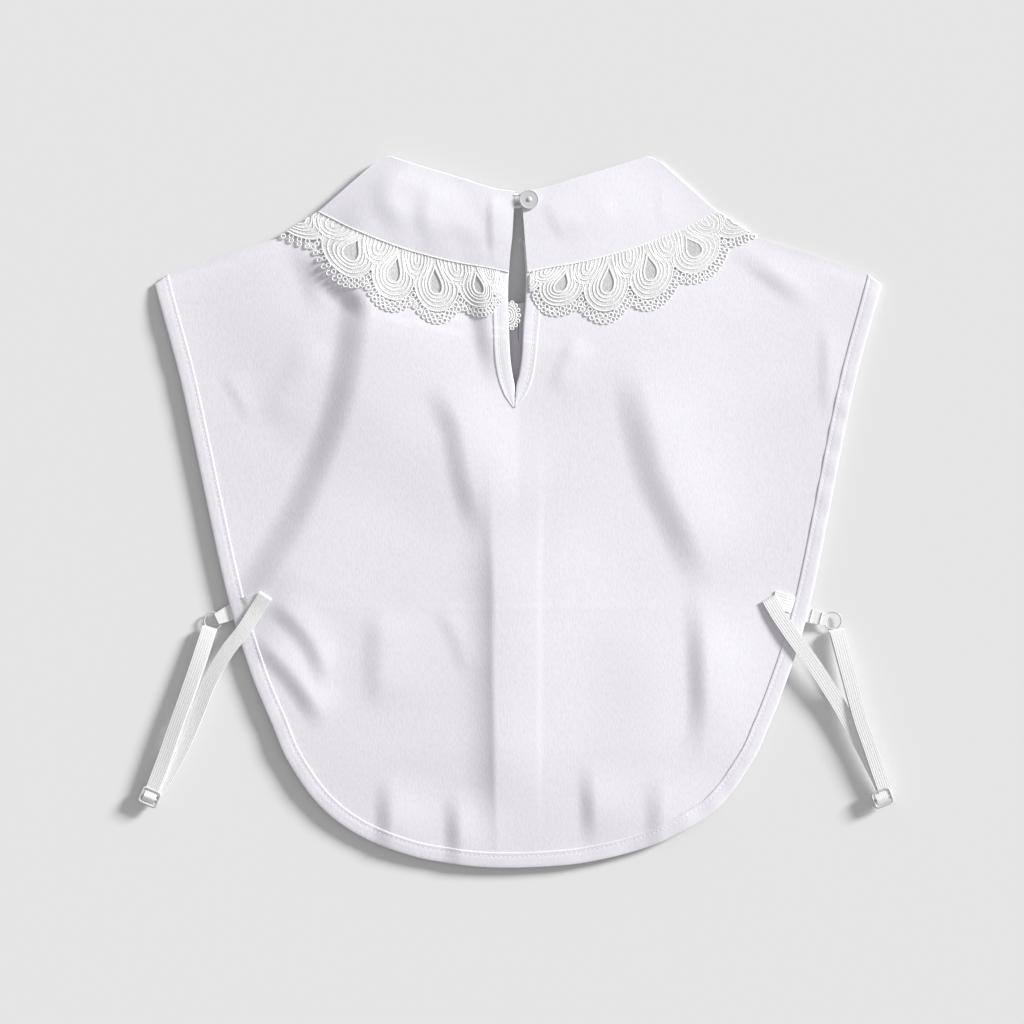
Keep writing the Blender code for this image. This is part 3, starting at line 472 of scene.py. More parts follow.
def drift(plan, height, shortest, longest, seed):
    """Slight unevenness: plane waves of random direction, length and phase, summed."""
    random = np.random.default_rng(seed)
    count = 18
    angle = random.uniform(0, math.tau, count)
    pace = math.tau / random.uniform(shortest, longest, count)
    waves = np.stack([np.cos(angle), np.sin(angle)]) * pace
    return height * np.sin(plan @ waves + random.uniform(0, math.tau, count)).sum(1) / math.sqrt(count)


def back_height(plan):
    """Middle of the back panel: over the plane of the layers below, with its folds."""
    flat = np.asarray(plan, float).reshape(-1, 2)
    depth = bpy.context.scene.lace_collar.fold_depth
    height = middle_plane(flat) + STAND_RISE * seam_share(flat) + loft(flat)
    height += (depth * folds(flat, FOLDS) + drift(flat, *BACK_DRIFT, 3)) * fold_share(flat)
    return height.reshape(np.asarray(plan).shape[:-1])


def front_height(plan):
    """Middle of the front panel: under the plane between the layers, resting on the surface."""
    height = middle_plane(plan, FRONT_OPEN_PLANE) + front_lift(plan) - STAND_RISE * seam_share(plan)
    return np.maximum(height, LOWEST + FRONT_CLEAR)


def grid_faces(rows, columns, wrap_rows=False, wrap_columns=False):
    """Quads of a grid of points numbered row by row."""
    i = np.arange(rows if wrap_rows else rows - 1)
    j = np.arange(columns if wrap_columns else columns - 1)
    a, b = np.meshgrid(i, j, indexing="ij")
    a, after = a * columns, (a + 1) % rows * columns
    beside = (b + 1) % columns
    return np.stack([a + b, after + b, after + beside, a + beside], -1).reshape(-1, 4)


def rod_faces(rows, columns):
    """Faces of a rod: rings of points joined into a wall, with a flat face over each end."""
    last = rows * columns - 1
    ends = [list(range(columns)), [last - i for i in range(columns)]]
    return grid_faces(rows, columns, wrap_columns=True).tolist() + ends


def pole_faces(rows, columns):
    """Faces of a turned form: rings joined into a wall, with a fan to the pole at each end, the
    last two points."""
    first, last, poles = 0, (rows - 1) * columns, rows * columns
    faces = grid_faces(rows, columns, wrap_columns=True).tolist()
    faces += [[first + (i + 1) % columns, first + i, poles] for i in range(columns)]
    faces += [[last + i, last + (i + 1) % columns, poles + 1] for i in range(columns)]
    return faces


def joined(parts):
    """Several (points, faces) put into one, with their numbers moved on."""
    points, faces, start = [], [], 0
    for part_points, part_faces in parts:
        points.append(part_points)
        faces += [[i + start for i in face] for face in part_faces]
        start += len(part_points)
    return np.vstack(points), faces


def tube(path, normal, radius, sides=6, closed=False, flatness=1.0):
    """Round cord along a path: at each point a ring of radius times cosine along the side
    direction and sine along the surface's normal."""
    path = np.asarray(path, float)
    normal = np.broadcast_to(np.asarray(normal, float), path.shape)
    if closed:
        ahead = unit(np.roll(path, -1, 0) - np.roll(path, 1, 0))
    else:
        ahead = unit(np.gradient(path, axis=0))
    across = unit(np.cross(ahead, normal))
    up = np.cross(across, ahead)
    angle = np.arange(sides) * math.tau / sides
    size = np.broadcast_to(np.asarray(radius, float), (len(path),))[:, None, None]
    level, rise = np.cos(angle)[None, :, None], flatness * np.sin(angle)[None, :, None]
    ring = level * across[:, None] + rise * up[:, None]
    points = (path[:, None] + size * ring).reshape(-1, 3)
    if closed:
        return points, grid_faces(len(path), sides, wrap_rows=True, wrap_columns=True).tolist()
    return points, rod_faces(len(path), sides)


def copies(template, centres, first, second, third):
    """A template's points put at each centre, along three axes given for each one."""
    points, faces = template
    axes = np.stack([first, second, third], 1)
    placed = centres[:, None] + np.einsum("pk,nkc->npc", points, axes)
    shift = np.arange(len(centres)) * len(points)
    moved = [[i + s for i in face] for s in shift.tolist() for face in faces]
    return placed.reshape(-1, 3), moved


def bead_template(rings=4, sides=6):
    """Unit ball of a few faces: rings of sines and cosines, closed at both ends along x."""
    angle = np.linspace(0, math.pi, rings + 2)[1:-1]
    path = np.stack([-np.cos(angle), 0 * angle, 0 * angle], 1)
    turn = np.arange(sides) * math.tau / sides
    ring = np.stack([0 * turn, np.cos(turn), np.sin(turn)], 1)
    body = (path[:, None] + np.sin(angle)[:, None, None] * ring[None]).reshape(-1, 3)
    points = np.vstack([body, [(-1, 0, 0), (1, 0, 0)]])
    return points, pole_faces(rings, sides)


def ring_template(radius, wire, around=14, sides=6):
    """Small thread ring: a circle of the given radius with a round section."""
    turn = np.arange(around) * math.tau / around
    path = np.stack([np.cos(turn), np.sin(turn), 0 * turn], 1) * radius
    return tube(path, (0, 0, 1), wire, sides, closed=True)


def stitches(path, normal, length, gap, radius, slant=0.0):
    """Sewing thread showing along a line: a bead stretched along each stitch, leaning by slant."""
    path = np.asarray(path, float)
    normal = np.broadcast_to(np.asarray(normal, float), path.shape)
    run = lengths_along(path)
    count = max(1, int(run[-1] / (length + gap)))
    at = (np.arange(count) + 0.5) * run[-1] / count
    centre = np.stack([np.interp(at, run, c) for c in path.T], 1)
    slope = np.gradient(path, axis=0)
    ahead = unit(np.stack([np.interp(at, run, c) for c in slope.T], 1))
    up = unit(np.stack([np.interp(at, run, c) for c in normal.T], 1))
    across = unit(np.cross(up, ahead))
    lean = unit(ahead * math.cos(slant) + across * math.sin(slant))
    across = np.cross(up, lean)
    return copies(bead_template(3, 5), centre, lean * length / 2, across * radius, up * radius)


# ---------------------------------------------------------------- pieces


def new_piece(name, points, faces, finish, uv=None, wall=None, merge=False):
    """Object from points in millimetres; a sheet gets its wall, a closed form its outward faces."""
    mesh = bpy.data.meshes.new(name)
    mesh.from_pydata((np.asarray(points) * MM).tolist(), [], [list(face) for face in faces])
    if uv is not None:
        layer = mesh.uv_layers.new(name="UVMap")
        corner = np.empty(len(mesh.loops), np.int32)
        mesh.loops.foreach_get("vertex_index", corner)
        layer.uv.foreach_set("vector", np.asarray(uv, np.float32)[corner].ravel())
    work = bmesh.new()
    work.from_mesh(mesh)
    if merge:
        bmesh.ops.remove_doubles(work, verts=work.verts, dist=0.02 * MM)
    bmesh.ops.delete(work, geom=[v for v in work.verts if not v.link_faces], context="VERTS")
    bmesh.ops.recalc_face_normals(work, faces=work.faces)
    work.to_mesh(mesh)
    work.free()
    mesh.shade_smooth()
    if wall:
        sides = np.empty(len(mesh.loops), np.int32)
        mesh.loops.foreach_get("edge_index", sides)
        rim = np.bincount(sides, minlength=len(mesh.edges)) == 1
        mesh.attributes.new("sharp_edge", "BOOLEAN", "EDGE").data.foreach_set("value", rim)
    mesh.materials.append(finish)
    piece = bpy.data.objects.new(name, mesh)
    bpy.context.collection.objects.link(piece)
    if wall:
        solid = piece.modifiers.new("Wall", "SOLIDIFY")
        solid.thickness = wall * MM
        solid.offset = 0.0
    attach(piece, "root")
    return piece


def cloth_area(piece):
    """Area of a sheet's middle surface in square metres: the sum over its faces."""
    areas = np.empty(len(piece.data.polygons), np.float32)
    piece.data.polygons.foreach_get("area", areas)
    return float(areas.sum())


def coons(bottom, top, inner, outer):
    """Patch between four curves: the two blends of facing curves, less the blend of the corners."""
    u = np.linspace(0, 1, len(bottom))[None, :, None]
    v = np.linspace(0, 1, len(inner))[:, None, None]
    ruled = (1 - v) * bottom[None] + v * top[None] + (1 - u) * inner[:, None] + u * outer[:, None]
    low = (1 - u) * bottom[0] + u * bottom[-1]
    high = (1 - u) * top[0] + u * top[-1]
    return ruled - (1 - v) * low - v * high


def edge_line(side, inset, count):
    """Edge from the middle of the hem to the shoulder's tip, moved in by the inset."""
    line = smooth_curve(flipped(EDGE[side], side), count)
    ahead = unit(np.gradient(line, axis=0))
    inward = np.stack([-ahead[:, 1], ahead[:, 0]], 1) * side
    moved = line + inward * inset
    moved[0, 0] = 0.0
    return moved


def panel_half(side, inset, inner, neck, across):
    """Plan of half a panel between the middle, the neck and shoulder, and the edge."""
    along = len(inner)
    edge = edge_line(side, inset, 700)
    corner = int(np.abs(edge[:, 1] - PANEL_CORNER).argmin())
    bottom, outer = resample(edge[:corner + 1], across), resample(edge[corner:], along)
    neckline = smooth_curve(flipped(neck, side), 60)
    shoulder = flipped(SHOULDER, side)
    shoulder[-1] = (shoulder[-1] * 4 + outer[-1]) / 5
    top = resample(np.vstack([neckline, shoulder[1:], outer[-1:]]), across)
    return coons(bottom, top, inner, outer)


def build_panel(name, grids, height, finish, nodes):
    """Sheet over both halves' plans at the given height."""
    points, faces, start = [], [], 0
    for grid in grids:
        rows, columns = grid.shape[:2]
        plan = grid.reshape(-1, 2)
        points.append(np.column_stack([plan, height(plan)]))
        faces.append(grid_faces(rows, columns) + start)
        start += len(plan)
    points, faces = np.vstack(points), np.vstack(faces)
    piece = new_piece(name, points, faces.tolist(), finish, wall=CLOTH_WALL, merge=True)
    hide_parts(*nodes)
    return piece


def strip(outer, inner, profile, base):
    """Closed band: at each station the profile's share runs from the outer to the inner edge,
    and its height is added to the panel's."""
    share, rise = np.array(profile).T
    plan = outer[:, None] + (inner - outer)[:, None] * share[None, :, None]
    grid = np.concatenate([plan, np.maximum(base(plan) + rise[None], LOWEST)[..., None]], 2)
    return grid.reshape(-1, 3), rod_faces(*grid.shape[:2]), grid


def side_frame(part, other):
    """Direction out of the side fold, square to the line between two parts of the collar."""
    line = unit(np.array(COLLAR_SIDE[other], float) - np.array(COLLAR_SIDE[part], float))
    return np.array([-line[1], line[0]])


OUTWARD = {
    "neck": -side_frame("neck", "roll"),
    "roll": side_frame("roll", "fall"),
    "fall": side_frame("roll", "fall"),
    "lace": side_frame("fall", "lace"),
}


def side_point(part, rise=FALL_RISE):
    """Where a line of the collar starts to turn round the side."""
    return np.array(COLLAR_SIDE[part]) - OUTWARD[part] * rise * SIDE_BULGE


def lifted(plan, outward, angle, rise, side, relief=0.0):
    """Plan points set round the middle plane: out by the rise times the cosine, up by its sine.

    Gives the points and the surface's normals; folds below show through on the back."""
    spot = plan * (side, 1)
    rise = rise * (1 - SUNK_CLOSE * sunk(spot))
    flat = plan + outward * (SIDE_BULGE * rise * np.cos(angle))[:, None]
    over = np.clip(np.sin(angle), 0, 1)
    depth = bpy.context.scene.lace_collar.fold_depth
    bumps = (depth * folds(spot, FOLDS) * fold_share(spot) + relief + loft(spot)) * over
    below = middle_plane(spot, FRONT_OPEN_PLANE) + front_lift(spot) * np.clip(-np.sin(angle), 0, 1)
    plane = np.where(angle > 0, middle_plane(spot), below)
    height = plane + rise * np.sin(angle) + bumps
    lowest = LOWEST + PRESSED_CLEAR + PRESSED_STEP * (FALL_RISE - rise * np.sign(-angle))
    height = np.maximum(height, lowest)
    normal = np.column_stack([np.broadcast_to(outward, plan.shape) * np.cos(angle)[:, None], np.sin(angle)])
    return np.column_stack([flat, height]) * (side, 1, 1), normal * (side, 1, 1)


def collar_line(part, counts):
    """One line of the collar: across the back, round the side and under to the front's middle."""
    over, turning, under = counts
    back = smooth_curve([row[part] for row in COLLAR_BACK] + [tuple(side_point(part))], over - 1)
    back = np.vstack([back[:-1], SUPPORT * back[-2] + (1 - SUPPORT) * back[-1], back[-1]])
    front = smooth_curve([tuple(side_point(part))] + [row[part] for row in COLLAR_FRONT], under - 1)
    front = np.vstack([front[0], (1 - SUPPORT) * front[0] + SUPPORT * front[1], front[1:]])
    plan = np.vstack([back, np.repeat(side_point(part)[None], turning, 0), front])
    step = 180.0 / (turning + 1)
    angle = np.r_[np.full(over, 90.0), 90 - step * np.arange(1, turning + 1), np.full(under, -90.0)]
    return plan, np.radians(angle)


def collar_grid(side, counts=(130, 9, 70), stand_rows=10, turn_rows=9, fall_rows=44):
    """Collar half: up the stand, over the roll line in a half circle, down the fall with a slight
    crown that is a sine of the share down."""
    neck, angle = collar_line("neck", counts)
    roll, _ = collar_line("roll", counts)
    fall, _ = collar_line("fall", counts)
    to_neck, to_fall = unit(neck - roll), unit(fall - roll)
    lines = []
    for part in np.linspace(0, 1, stand_rows):
        end = roll + to_neck * ROLL_RADIUS
        lines.append(lifted(neck + (end - neck) * part, OUTWARD["neck"], angle, STAND_RISE, side)[0])
    for turn in np.linspace(0, math.pi, turn_rows + 2)[1:]:
        share = turn / math.pi
        inwards = unit(to_neck * (1 - share) + to_fall * share)
        outward = unit(OUTWARD["neck"] * (1 - share) + OUTWARD["fall"] * share)
        place = roll + inwards * ROLL_RADIUS * (1 - math.sin(turn))
        rise = STAND_RISE + (FALL_RISE - STAND_RISE) / 2 * (1 - math.cos(turn))
        lines.append(lifted(place, outward, angle, rise, side)[0])
    for part in np.r_[0.004, 0.012, np.linspace(0, 1, fall_rows)[1:]]:
        start = roll + to_fall * ROLL_RADIUS
        plan = start + (fall - start) * part
        swell = max(0.0, math.sin(math.pi * part))
        spot = plan * (side, 1)
        relief = folds(spot, COLLAR_FOLDS) + drift(spot, MOTTLING[side], *COLLAR_WAVES, 9)
        relief = (FALL_SWELL + relief) * swell * fold_share(spot) - FALL_DROOP * part**3
        lines.append(lifted(plan, OUTWARD["fall"], angle, FALL_RISE, side, relief)[0])
    return np.stack(lines, 1)


def lace_lines(side):
    """Seam and tip of the lace at whole scallop numbers: 0 at the back's middle, 5 at the side."""
    rows = SCALLOPS[side]
    back_seam = [row["seam"] for row in rows] + [tuple(side_point("fall"))]
    back_tip = [row["tip"] for row in rows] + [tuple(side_point("lace"))]
    front_seam, front_tip = (
        smooth_curve([tuple(side_point(part))] + [row[part] for row in COLLAR_FRONT], FRONT_SCALLOPS + 1)
        for part in ("fall", "lace"))
    return np.array(back_seam), np.array(back_tip), front_seam, front_tip


def on_lace(side, number, share, lift):
    """Points and normals of the lace at scallop numbers and shares of its reach.

    The plan runs straight from seam to tip; near the side scallop the angle turns it under."""
    back_seam, back_tip, front_seam, front_tip = lace_lines(side)
    number, share = np.broadcast_arrays(np.asarray(number, float), np.asarray(share, float))
    over = number <= SIDE_SCALLOP - SIDE_TURN
    under = number >= SIDE_SCALLOP + SIDE_TURN
    last = SIDE_SCALLOP - 1
    at_back = np.where(number <= last, number, last + (number - last) / (1 - SIDE_TURN))
    at_front = number - SIDE_SCALLOP - SIDE_TURN
    at_front = np.clip(at_front, 0, None) * FRONT_SCALLOPS / (FRONT_SCALLOPS - SIDE_TURN)
    seam = np.where(over[:, None], spline(back_seam, at_back), spline(front_seam, at_front))
    tip = np.where(over[:, None], spline(back_tip, at_back), spline(front_tip, at_front))
    middle = ~over & ~under
    seam[middle], tip[middle] = back_seam[-1], back_tip[-1]
    angle = -np.clip((number - SIDE_SCALLOP) / SIDE_TURN, -1, 1) * math.pi / 2
    outward = unit(OUTWARD["fall"] * (1 - share[:, None]) + OUTWARD["lace"] * share[:, None])
    relief = LACE_LIFT[side] * share + LACE_SWELL[side] * np.sin(math.pi * np.clip(share / LACE_ARCH, 0, 1))
    return lifted(seam + (tip - seam) * share[:, None], outward, angle, LACE_RISE + lift, side, relief)


def nominal(widths, reach):
    """A motif's millimetres as scallop numbers and shares: the pitch widens from seam to tip."""
    share = np.asarray(reach, float) / REACH
    return np.asarray(widths, float) / (SEAM_PITCH + (TIP_PITCH - SEAM_PITCH) * share), share


def both_halves(half, count):
    """A curve given for one half, mirrored and joined at the middle, as even points."""
    half = np.array(half, float)
    whole = np.vstack([half, half[-2::-1] * (-1, 1)])
    return smooth_curve(whole, count)


def build_cords(side, first, last):
    """All corded lines and rings of one half's lace, for scallops from the first to the last."""
    cord = bpy.context.scene.lace_collar.cord_width / MM / 2
    parts = []

    def lay(line, middle, radius, lift=CORD_LIFT, closed=False, bead=0.2):
        across, share = nominal(line[:, 0], line[:, 1])
        number = middle + across
        keep = (number >= first) & (number <= last)
        if keep.sum() < 4:
            return
        path, normal = on_lace(side, number[keep], share[keep], lift)
        clear = (path[:, 0] * side > LACE_START[side]) | (number[keep] > BINDING_REACH)
        if clear.sum() < 4:
            return
        whole = closed and keep.all() and clear.all()
        path, normal = path[clear], normal[clear]
        run = lengths_along(path)
        thick = radius * (1 + bead * np.sin(run * math.tau / CORD_TWIST))
        parts.append(tube(path, normal, thick, sides=5, closed=whole, flatness=CORD_FLATNESS))

    rings = []
    for middle in range(0, int(last) + 1):
        drop = np.vstack([TEARDROP, np.array(TEARDROP[-2:0:-1]) * (-1, 1)])
        drop = smooth_curve(np.vstack([drop, drop[:1]]), 72)[:-1]
        lay(drop, middle, cord * 1.25, CORD_LIFT + 0.02, closed=True, bead=0.06)
        for arch in ARCHES:
            lay(both_halves(arch, 142), middle, cord)
        for number, arc in enumerate(ROSETTE):
            lay(both_halves(arc, 40 + 18 * number), middle + 0.5, cord * 0.95)
        twins = np.array(PICOTS_TWIN)
        spots = np.vstack([PICOTS_ALONE, twins, twins * (-1, 1)])
        across, share = nominal(spots[:, 0], spots[:, 1])
        rings.append(np.stack([middle + across, share], 1))
    rings = np.vstack(rings)
    rings = rings[(rings[:, 0] > first + PICOT_MARGIN) & (rings[:, 0] < last - PICOT_MARGIN)]
    rings = rings[np.abs(rings[:, 0] - SIDE_SCALLOP) > SIDE_TURN]
    centre, normal = on_lace(side, rings[:, 0], rings[:, 1], PICOT_LIFT)
    clear = (centre[:, 0] * side > LACE_START[side] + PICOT_CLEAR) | (rings[:, 0] > BINDING_REACH)
    rings, centre, normal = rings[clear], centre[clear], normal[clear]
    beside, _ = on_lace(side, rings[:, 0] + 0.02, rings[:, 1], PICOT_LIFT)
    ahead = unit(beside - centre)
    across = unit(np.cross(normal, ahead))
    up = np.cross(ahead, across)
    parts.append(copies(ring_template(PICOT_RADIUS, PICOT_WIRE), centre, ahead, across, up * PICOT_FLATNESS))
    return parts


def lace_end(cord):
    """End of the lace that shows inside the slit: half rings round a point, and picots outside them."""
    def arc(turn, wide, high):
        return np.column_stack([wide * np.cos(turn), high * np.sin(turn), 0 * turn]) + SLIT_LACE

    turn = np.linspace(-1.5, 1.5, 34)
    parts = [tube(arc(turn, radius, 1.3 * radius), (0, 0, 1), cord * 1.3, flatness=0.6)
             for radius in (0.8, 2.0, 3.2, 4.4)]
    centre = arc(np.linspace(-1.2, 1.2, 7), 5.7, 7.2)
    axes = [np.broadcast_to(axis, centre.shape) for axis in np.eye(3)]
    parts.append(copies(ring_template(0.85, PICOT_WIRE), centre, *axes))
    return parts


def build_ground(side, first, last):
    """Thin ground of the lace: a grid whose reach follows the scallops, open inside each teardrop; the faces
    in the openings, lowered, make a dark sheet of painted shadow.
    """
    columns = int((last - first) * 38)
    rows = 38
    number = np.linspace(first, last, columns)
    near = number - np.round(number)
    edge = np.array(GROUND_EDGE)
    edge_at, edge_share = nominal(edge[:, 0], edge[:, 1])
    limit = np.interp(np.abs(near), edge_at, edge_share)
    share = np.linspace(0, 1, rows)[None] * limit[:, None]
    numbers = np.repeat(number, rows)
    points, _ = on_lace(side, numbers, share.ravel(), 0.0)
    faces = grid_faces(columns, rows)
    wide, reach = np.array(TEARDROP).T
    across = np.repeat(near, rows) * (SEAM_PITCH + (TIP_PITCH - SEAM_PITCH) * share.ravel())
    hole = np.abs(across) < np.interp(share.ravel() * REACH, reach, wide, left=-1, right=-1)
    clipped = (points[:, 0] * side < LACE_START[side]) & (numbers < BINDING_REACH)
    hidden = hole | clipped
    # the faces in the teardrops, lowered, make a dark sheet of painted shadow in the openings
    lower, _ = on_lace(side, numbers, share.ravel(), -SHADOW_SHEET_DROP)
    shadow_faces = faces[hole[faces].any(1) & ~clipped[faces].any(1)]
    faces = faces[hidden[faces].sum(1) < 3]
    uv = np.column_stack([numbers * 25, share.ravel() * REACH]) * MM
    return points, faces, lower, shadow_faces, uv


def ribbon(rows, side, twist=0.0, stations=90):
    """Elastic: a flat band along its middle line whose top carries lengthwise ribs."""
    table = flipped(rows, side)
    line = spline(table, np.linspace(0, len(table) - 1, 60))
    path = resample(line[:, :3], stations)
    width = np.interp(np.linspace(0, 1, stations), np.linspace(0, 1, len(line)), line[:, 3])
    ahead = unit(np.gradient(path, axis=0))
    across = unit(np.cross((0, 0, 1.0), ahead))
    tilt = twist * np.sin(np.linspace(0, math.pi, len(path)))
    lean = across * np.cos(tilt)[:, None] + np.array((0, 0, 1.0)) * np.sin(tilt)[:, None]
    up = np.cross(ahead, lean)
    share = np.linspace(-1, 1, RIBS * 6 + 1)
    ridge = RIB_HEIGHT * np.abs(np.cos(share * math.pi * RIBS / 2)) ** 0.7
    ridge[np.abs(share) > 0.9] = SELVEDGE_HEIGHT
    top = np.stack([share, ELASTIC_THICKNESS / 2 + ridge], 1)
    bottom = np.stack([share[::-1], -ELASTIC_THICKNESS / 2 - 0.3 * ridge[::-1]], 1)
    profile = np.vstack([top, bottom])
    grid = (path[:, None] + lean[:, None] * (width / 2)[:, None, None] * profile[None, :, 0, None]
            + up[:, None] * profile[None, :, 1, None])
    return grid.reshape(-1, 3), rod_faces(*grid.shape[:2])


def lathe(profile, centre, tilt=0.0, around=64):
    """Turned form: each radius carried round the axis, closed at both ends on it."""
    outline = smooth_curve(profile, 60)
    turn = np.arange(around) * math.tau / around
    radius, height = outline[1:-1, 0], outline[1:-1, 1]
    x = radius[:, None] * np.cos(turn)[None]
    y = radius[:, None] * np.sin(turn)[None]
    z = np.broadcast_to(height[:, None], x.shape)
    body = np.stack([x, y, z], 2).reshape(-1, 3)
    points = np.vstack([body, [(0, 0, outline[0, 1]), (0, 0, outline[-1, 1])]])
    lean = np.array([[math.cos(tilt), 0, math.sin(tilt)], [0, 1, 0], [-math.sin(tilt), 0, math.cos(tilt)]])
    return points @ lean.T + np.array(centre), pole_faces(len(radius), around)


# ---------------------------------------------------------------- finishes


class Finish:
    """A material being made: its shader's plain values, and nodes that colour and raise it."""

    def __init__(self, name, **values):
        self.material = bpy.data.materials.new(name)
        self.material.use_nodes = True
        self.tree = self.material.node_tree
        self.link = self.tree.links.new
        self.shader = self.tree.nodes["Principled BSDF"]
        for key, value in values.items():
            self.shader.inputs[key.replace("_", " ")].default_value = value

    def add(self, kind, **values):
        """A node with its sockets' or its own values set."""
        node = self.tree.nodes.new(kind)
        for key, value in values.items():
            if key in node.inputs:
                node.inputs[key].default_value = value
            else:
                setattr(node, key, value)
        return node

    def colour(self, source, low, high, stops=(0.0, 1.0)):
        """Base colour from one tone to another while the source rises between two stops."""
        tone = self.add("ShaderNodeValToRGB")
        for element, shade, stop in zip(tone.color_ramp.elements, (low, high), stops):
            element.color = (*shade, 1)
            element.position = stop
        self.link(source, tone.inputs["Fac"])
        self.link(tone.outputs["Color"], self.shader.inputs["Base Color"])

    def bump(self, source, relief):
        """Relief of the given height in metres, from the source."""
        bump = self.add("ShaderNodeBump", Strength=1.0, Distance=relief)
        self.link(source, bump.inputs["Height"])
        self.link(bump.outputs["Normal"], self.shader.inputs["Normal"])


def tinted(colour, share):
    """The colour times a share."""
    return tuple(c * share for c in colour)


def crepe(name, colour, crinkle_shade, relief):
    """Crepe: crinkles drawn out along the warp and a finer weave, as bump; the crinkles also colour it, their
    troughs darker as painted shade.
    """
    finish = Finish(name, Roughness=0.78, Sheen_Weight=0.12, Sheen_Roughness=0.5, Specular_IOR_Level=0.25)
    place = finish.add("ShaderNodeTexCoord")
    stretch = finish.add("ShaderNodeMapping", Scale=(1500.0, 420.0, 600.0))
    crinkle = finish.add("ShaderNodeTexNoise", Scale=1.0, Detail=3.0, Roughness=0.6)
    weave = finish.add("ShaderNodeTexNoise", Scale=2400.0, Detail=1.0, Roughness=0.5)
    mix = finish.add("ShaderNodeMath", operation="MULTIPLY_ADD")
    mix.inputs[1].default_value = 0.3
    finish.link(place.outputs["Object"], stretch.inputs["Vector"])
    finish.link(stretch.outputs["Vector"], crinkle.inputs["Vector"])
    finish.link(place.outputs["Object"], weave.inputs["Vector"])
    finish.link(weave.outputs["Fac"], mix.inputs[0])
    finish.link(crinkle.outputs["Fac"], mix.inputs[2])
    finish.bump(mix.outputs["Value"], relief)
    # painted shade: where the crinkles' bump is low the colour is darker
    finish.colour(crinkle.outputs["Fac"], tinted(colour, 1 - crinkle_shade), colour, (0.32, 0.62))
    return finish.material


def thread(name, colour, scale, relief, roughness=0.7, depth=0.0):
    """Thread: close twisted strands as a fine uneven bump, slightly lighter on the crests, which paints shade
    between the strands.
    """
    finish = Finish(name, Roughness=roughness, Sheen_Weight=0.1, Subsurface_Weight=depth,
                    Subsurface_Radius=(1.0, 1.0, 1.0), Subsurface_Scale=0.001)
    place = finish.add("ShaderNodeTexCoord")
    strands = finish.add("ShaderNodeTexNoise", Scale=scale, Detail=2.0, Roughness=0.6)
    finish.link(place.outputs["Object"], strands.inputs["Vector"])
    finish.bump(strands.outputs["Fac"], relief)
    # painted shade: where the strands' bump is low the colour is darker
    finish.colour(strands.outputs["Fac"], tinted(colour, 0.86), colour, (0.3, 0.55))
    return finish.material


def painted_shadow(name, colour):
    """Ground of the lace: close knots with the gaps between them painted darker as shade, on the piece's own
    map; also drawn on the dark sheet of painted shadow in the teardrops.
    """
    finish = Finish(name, Roughness=0.75)
    place = finish.add("ShaderNodeUVMap", uv_map="UVMap")
    knots = finish.add("ShaderNodeTexVoronoi", Scale=900.0, Randomness=0.55)
    lift = finish.add("ShaderNodeMath", operation="SUBTRACT")
    lift.inputs[0].default_value = 1.0
    finish.link(place.outputs["UV"], knots.inputs["Vector"])
    finish.link(knots.outputs["Distance"], lift.inputs[1])
    finish.bump(lift.outputs["Value"], 0.00012)
    # painted shade: the gaps between the knots, where the bump is low, are darker
    finish.colour(knots.outputs["Distance"], colour, tinted(colour, 0.8), (0.2, 0.65))
    return finish.material


def pearl(name, colour):
    """Pearly resin: slow clouds of tone under a smooth, lightly coated surface."""
    finish = Finish(name, Roughness=0.22, Coat_Weight=0.4, Subsurface_Weight=0.25,
                    Subsurface_Radius=(0.002, 0.002, 0.002))
    place = finish.add("ShaderNodeTexCoord")
    clouds = finish.add("ShaderNodeTexNoise", Scale=420.0, Detail=2.0, Distortion=1.2)
    finish.link(place.outputs["Object"], clouds.inputs["Vector"])
    finish.colour(clouds.outputs["Fac"], tinted(colour, 0.86), colour)
    return finish.material


def finishes():
    """Every finish by name, made from the settings when it is first asked for."""
    settings = bpy.context.scene.lace_collar
    cloth, collar = tuple(settings.cloth_colour), tuple(settings.collar_colour)
    lace, elastic = tuple(settings.lace_colour), tuple(settings.elastic_colour)
    recipes = {
        # the third number of each crepe is the share by which its crinkles' troughs are painted darker, as
        # painted shade
        "Crepe back": (crepe, cloth, 0.085, 0.00006),
        # the front's crepe is the back's cloth painted 6% darker: painted shade for the cloth that lies under
        # the back
        "Crepe front": (crepe, tinted(cloth, 0.94), 0.03, 0.00003),
        "Crepe collar": (crepe, collar, 0.075, 0.00004),
        "Sewing thread": (thread, lace, 3000.0, 0.00003),
        "Lace cord": (thread, lace, 2200.0, 0.00008, 0.7, 0.12),
        # the ground is painted darker than the cords: painted shade between the raised cords
        "Lace ground": (painted_shadow, tinted(lace, 0.87)),
        # painted shadow: a dark sheet that stands for the shade in the teardrops' openings
        "Lace net": (painted_shadow, tinted(lace, 0.68)),
        "Elastic": (thread, elastic, 1400.0, 0.00009),
        "Coated metal": (thread, tinted(elastic, 0.64), 500.0, 0.00001, 0.3),
        "Pearl": (pearl, tuple(settings.button_colour)),
    }
    return {name: bpy.data.materials.get(name) or make(name, *values)
            for name, (make, *values) in recipes.items()}


# ---------------------------------------------------------------- settings and operators


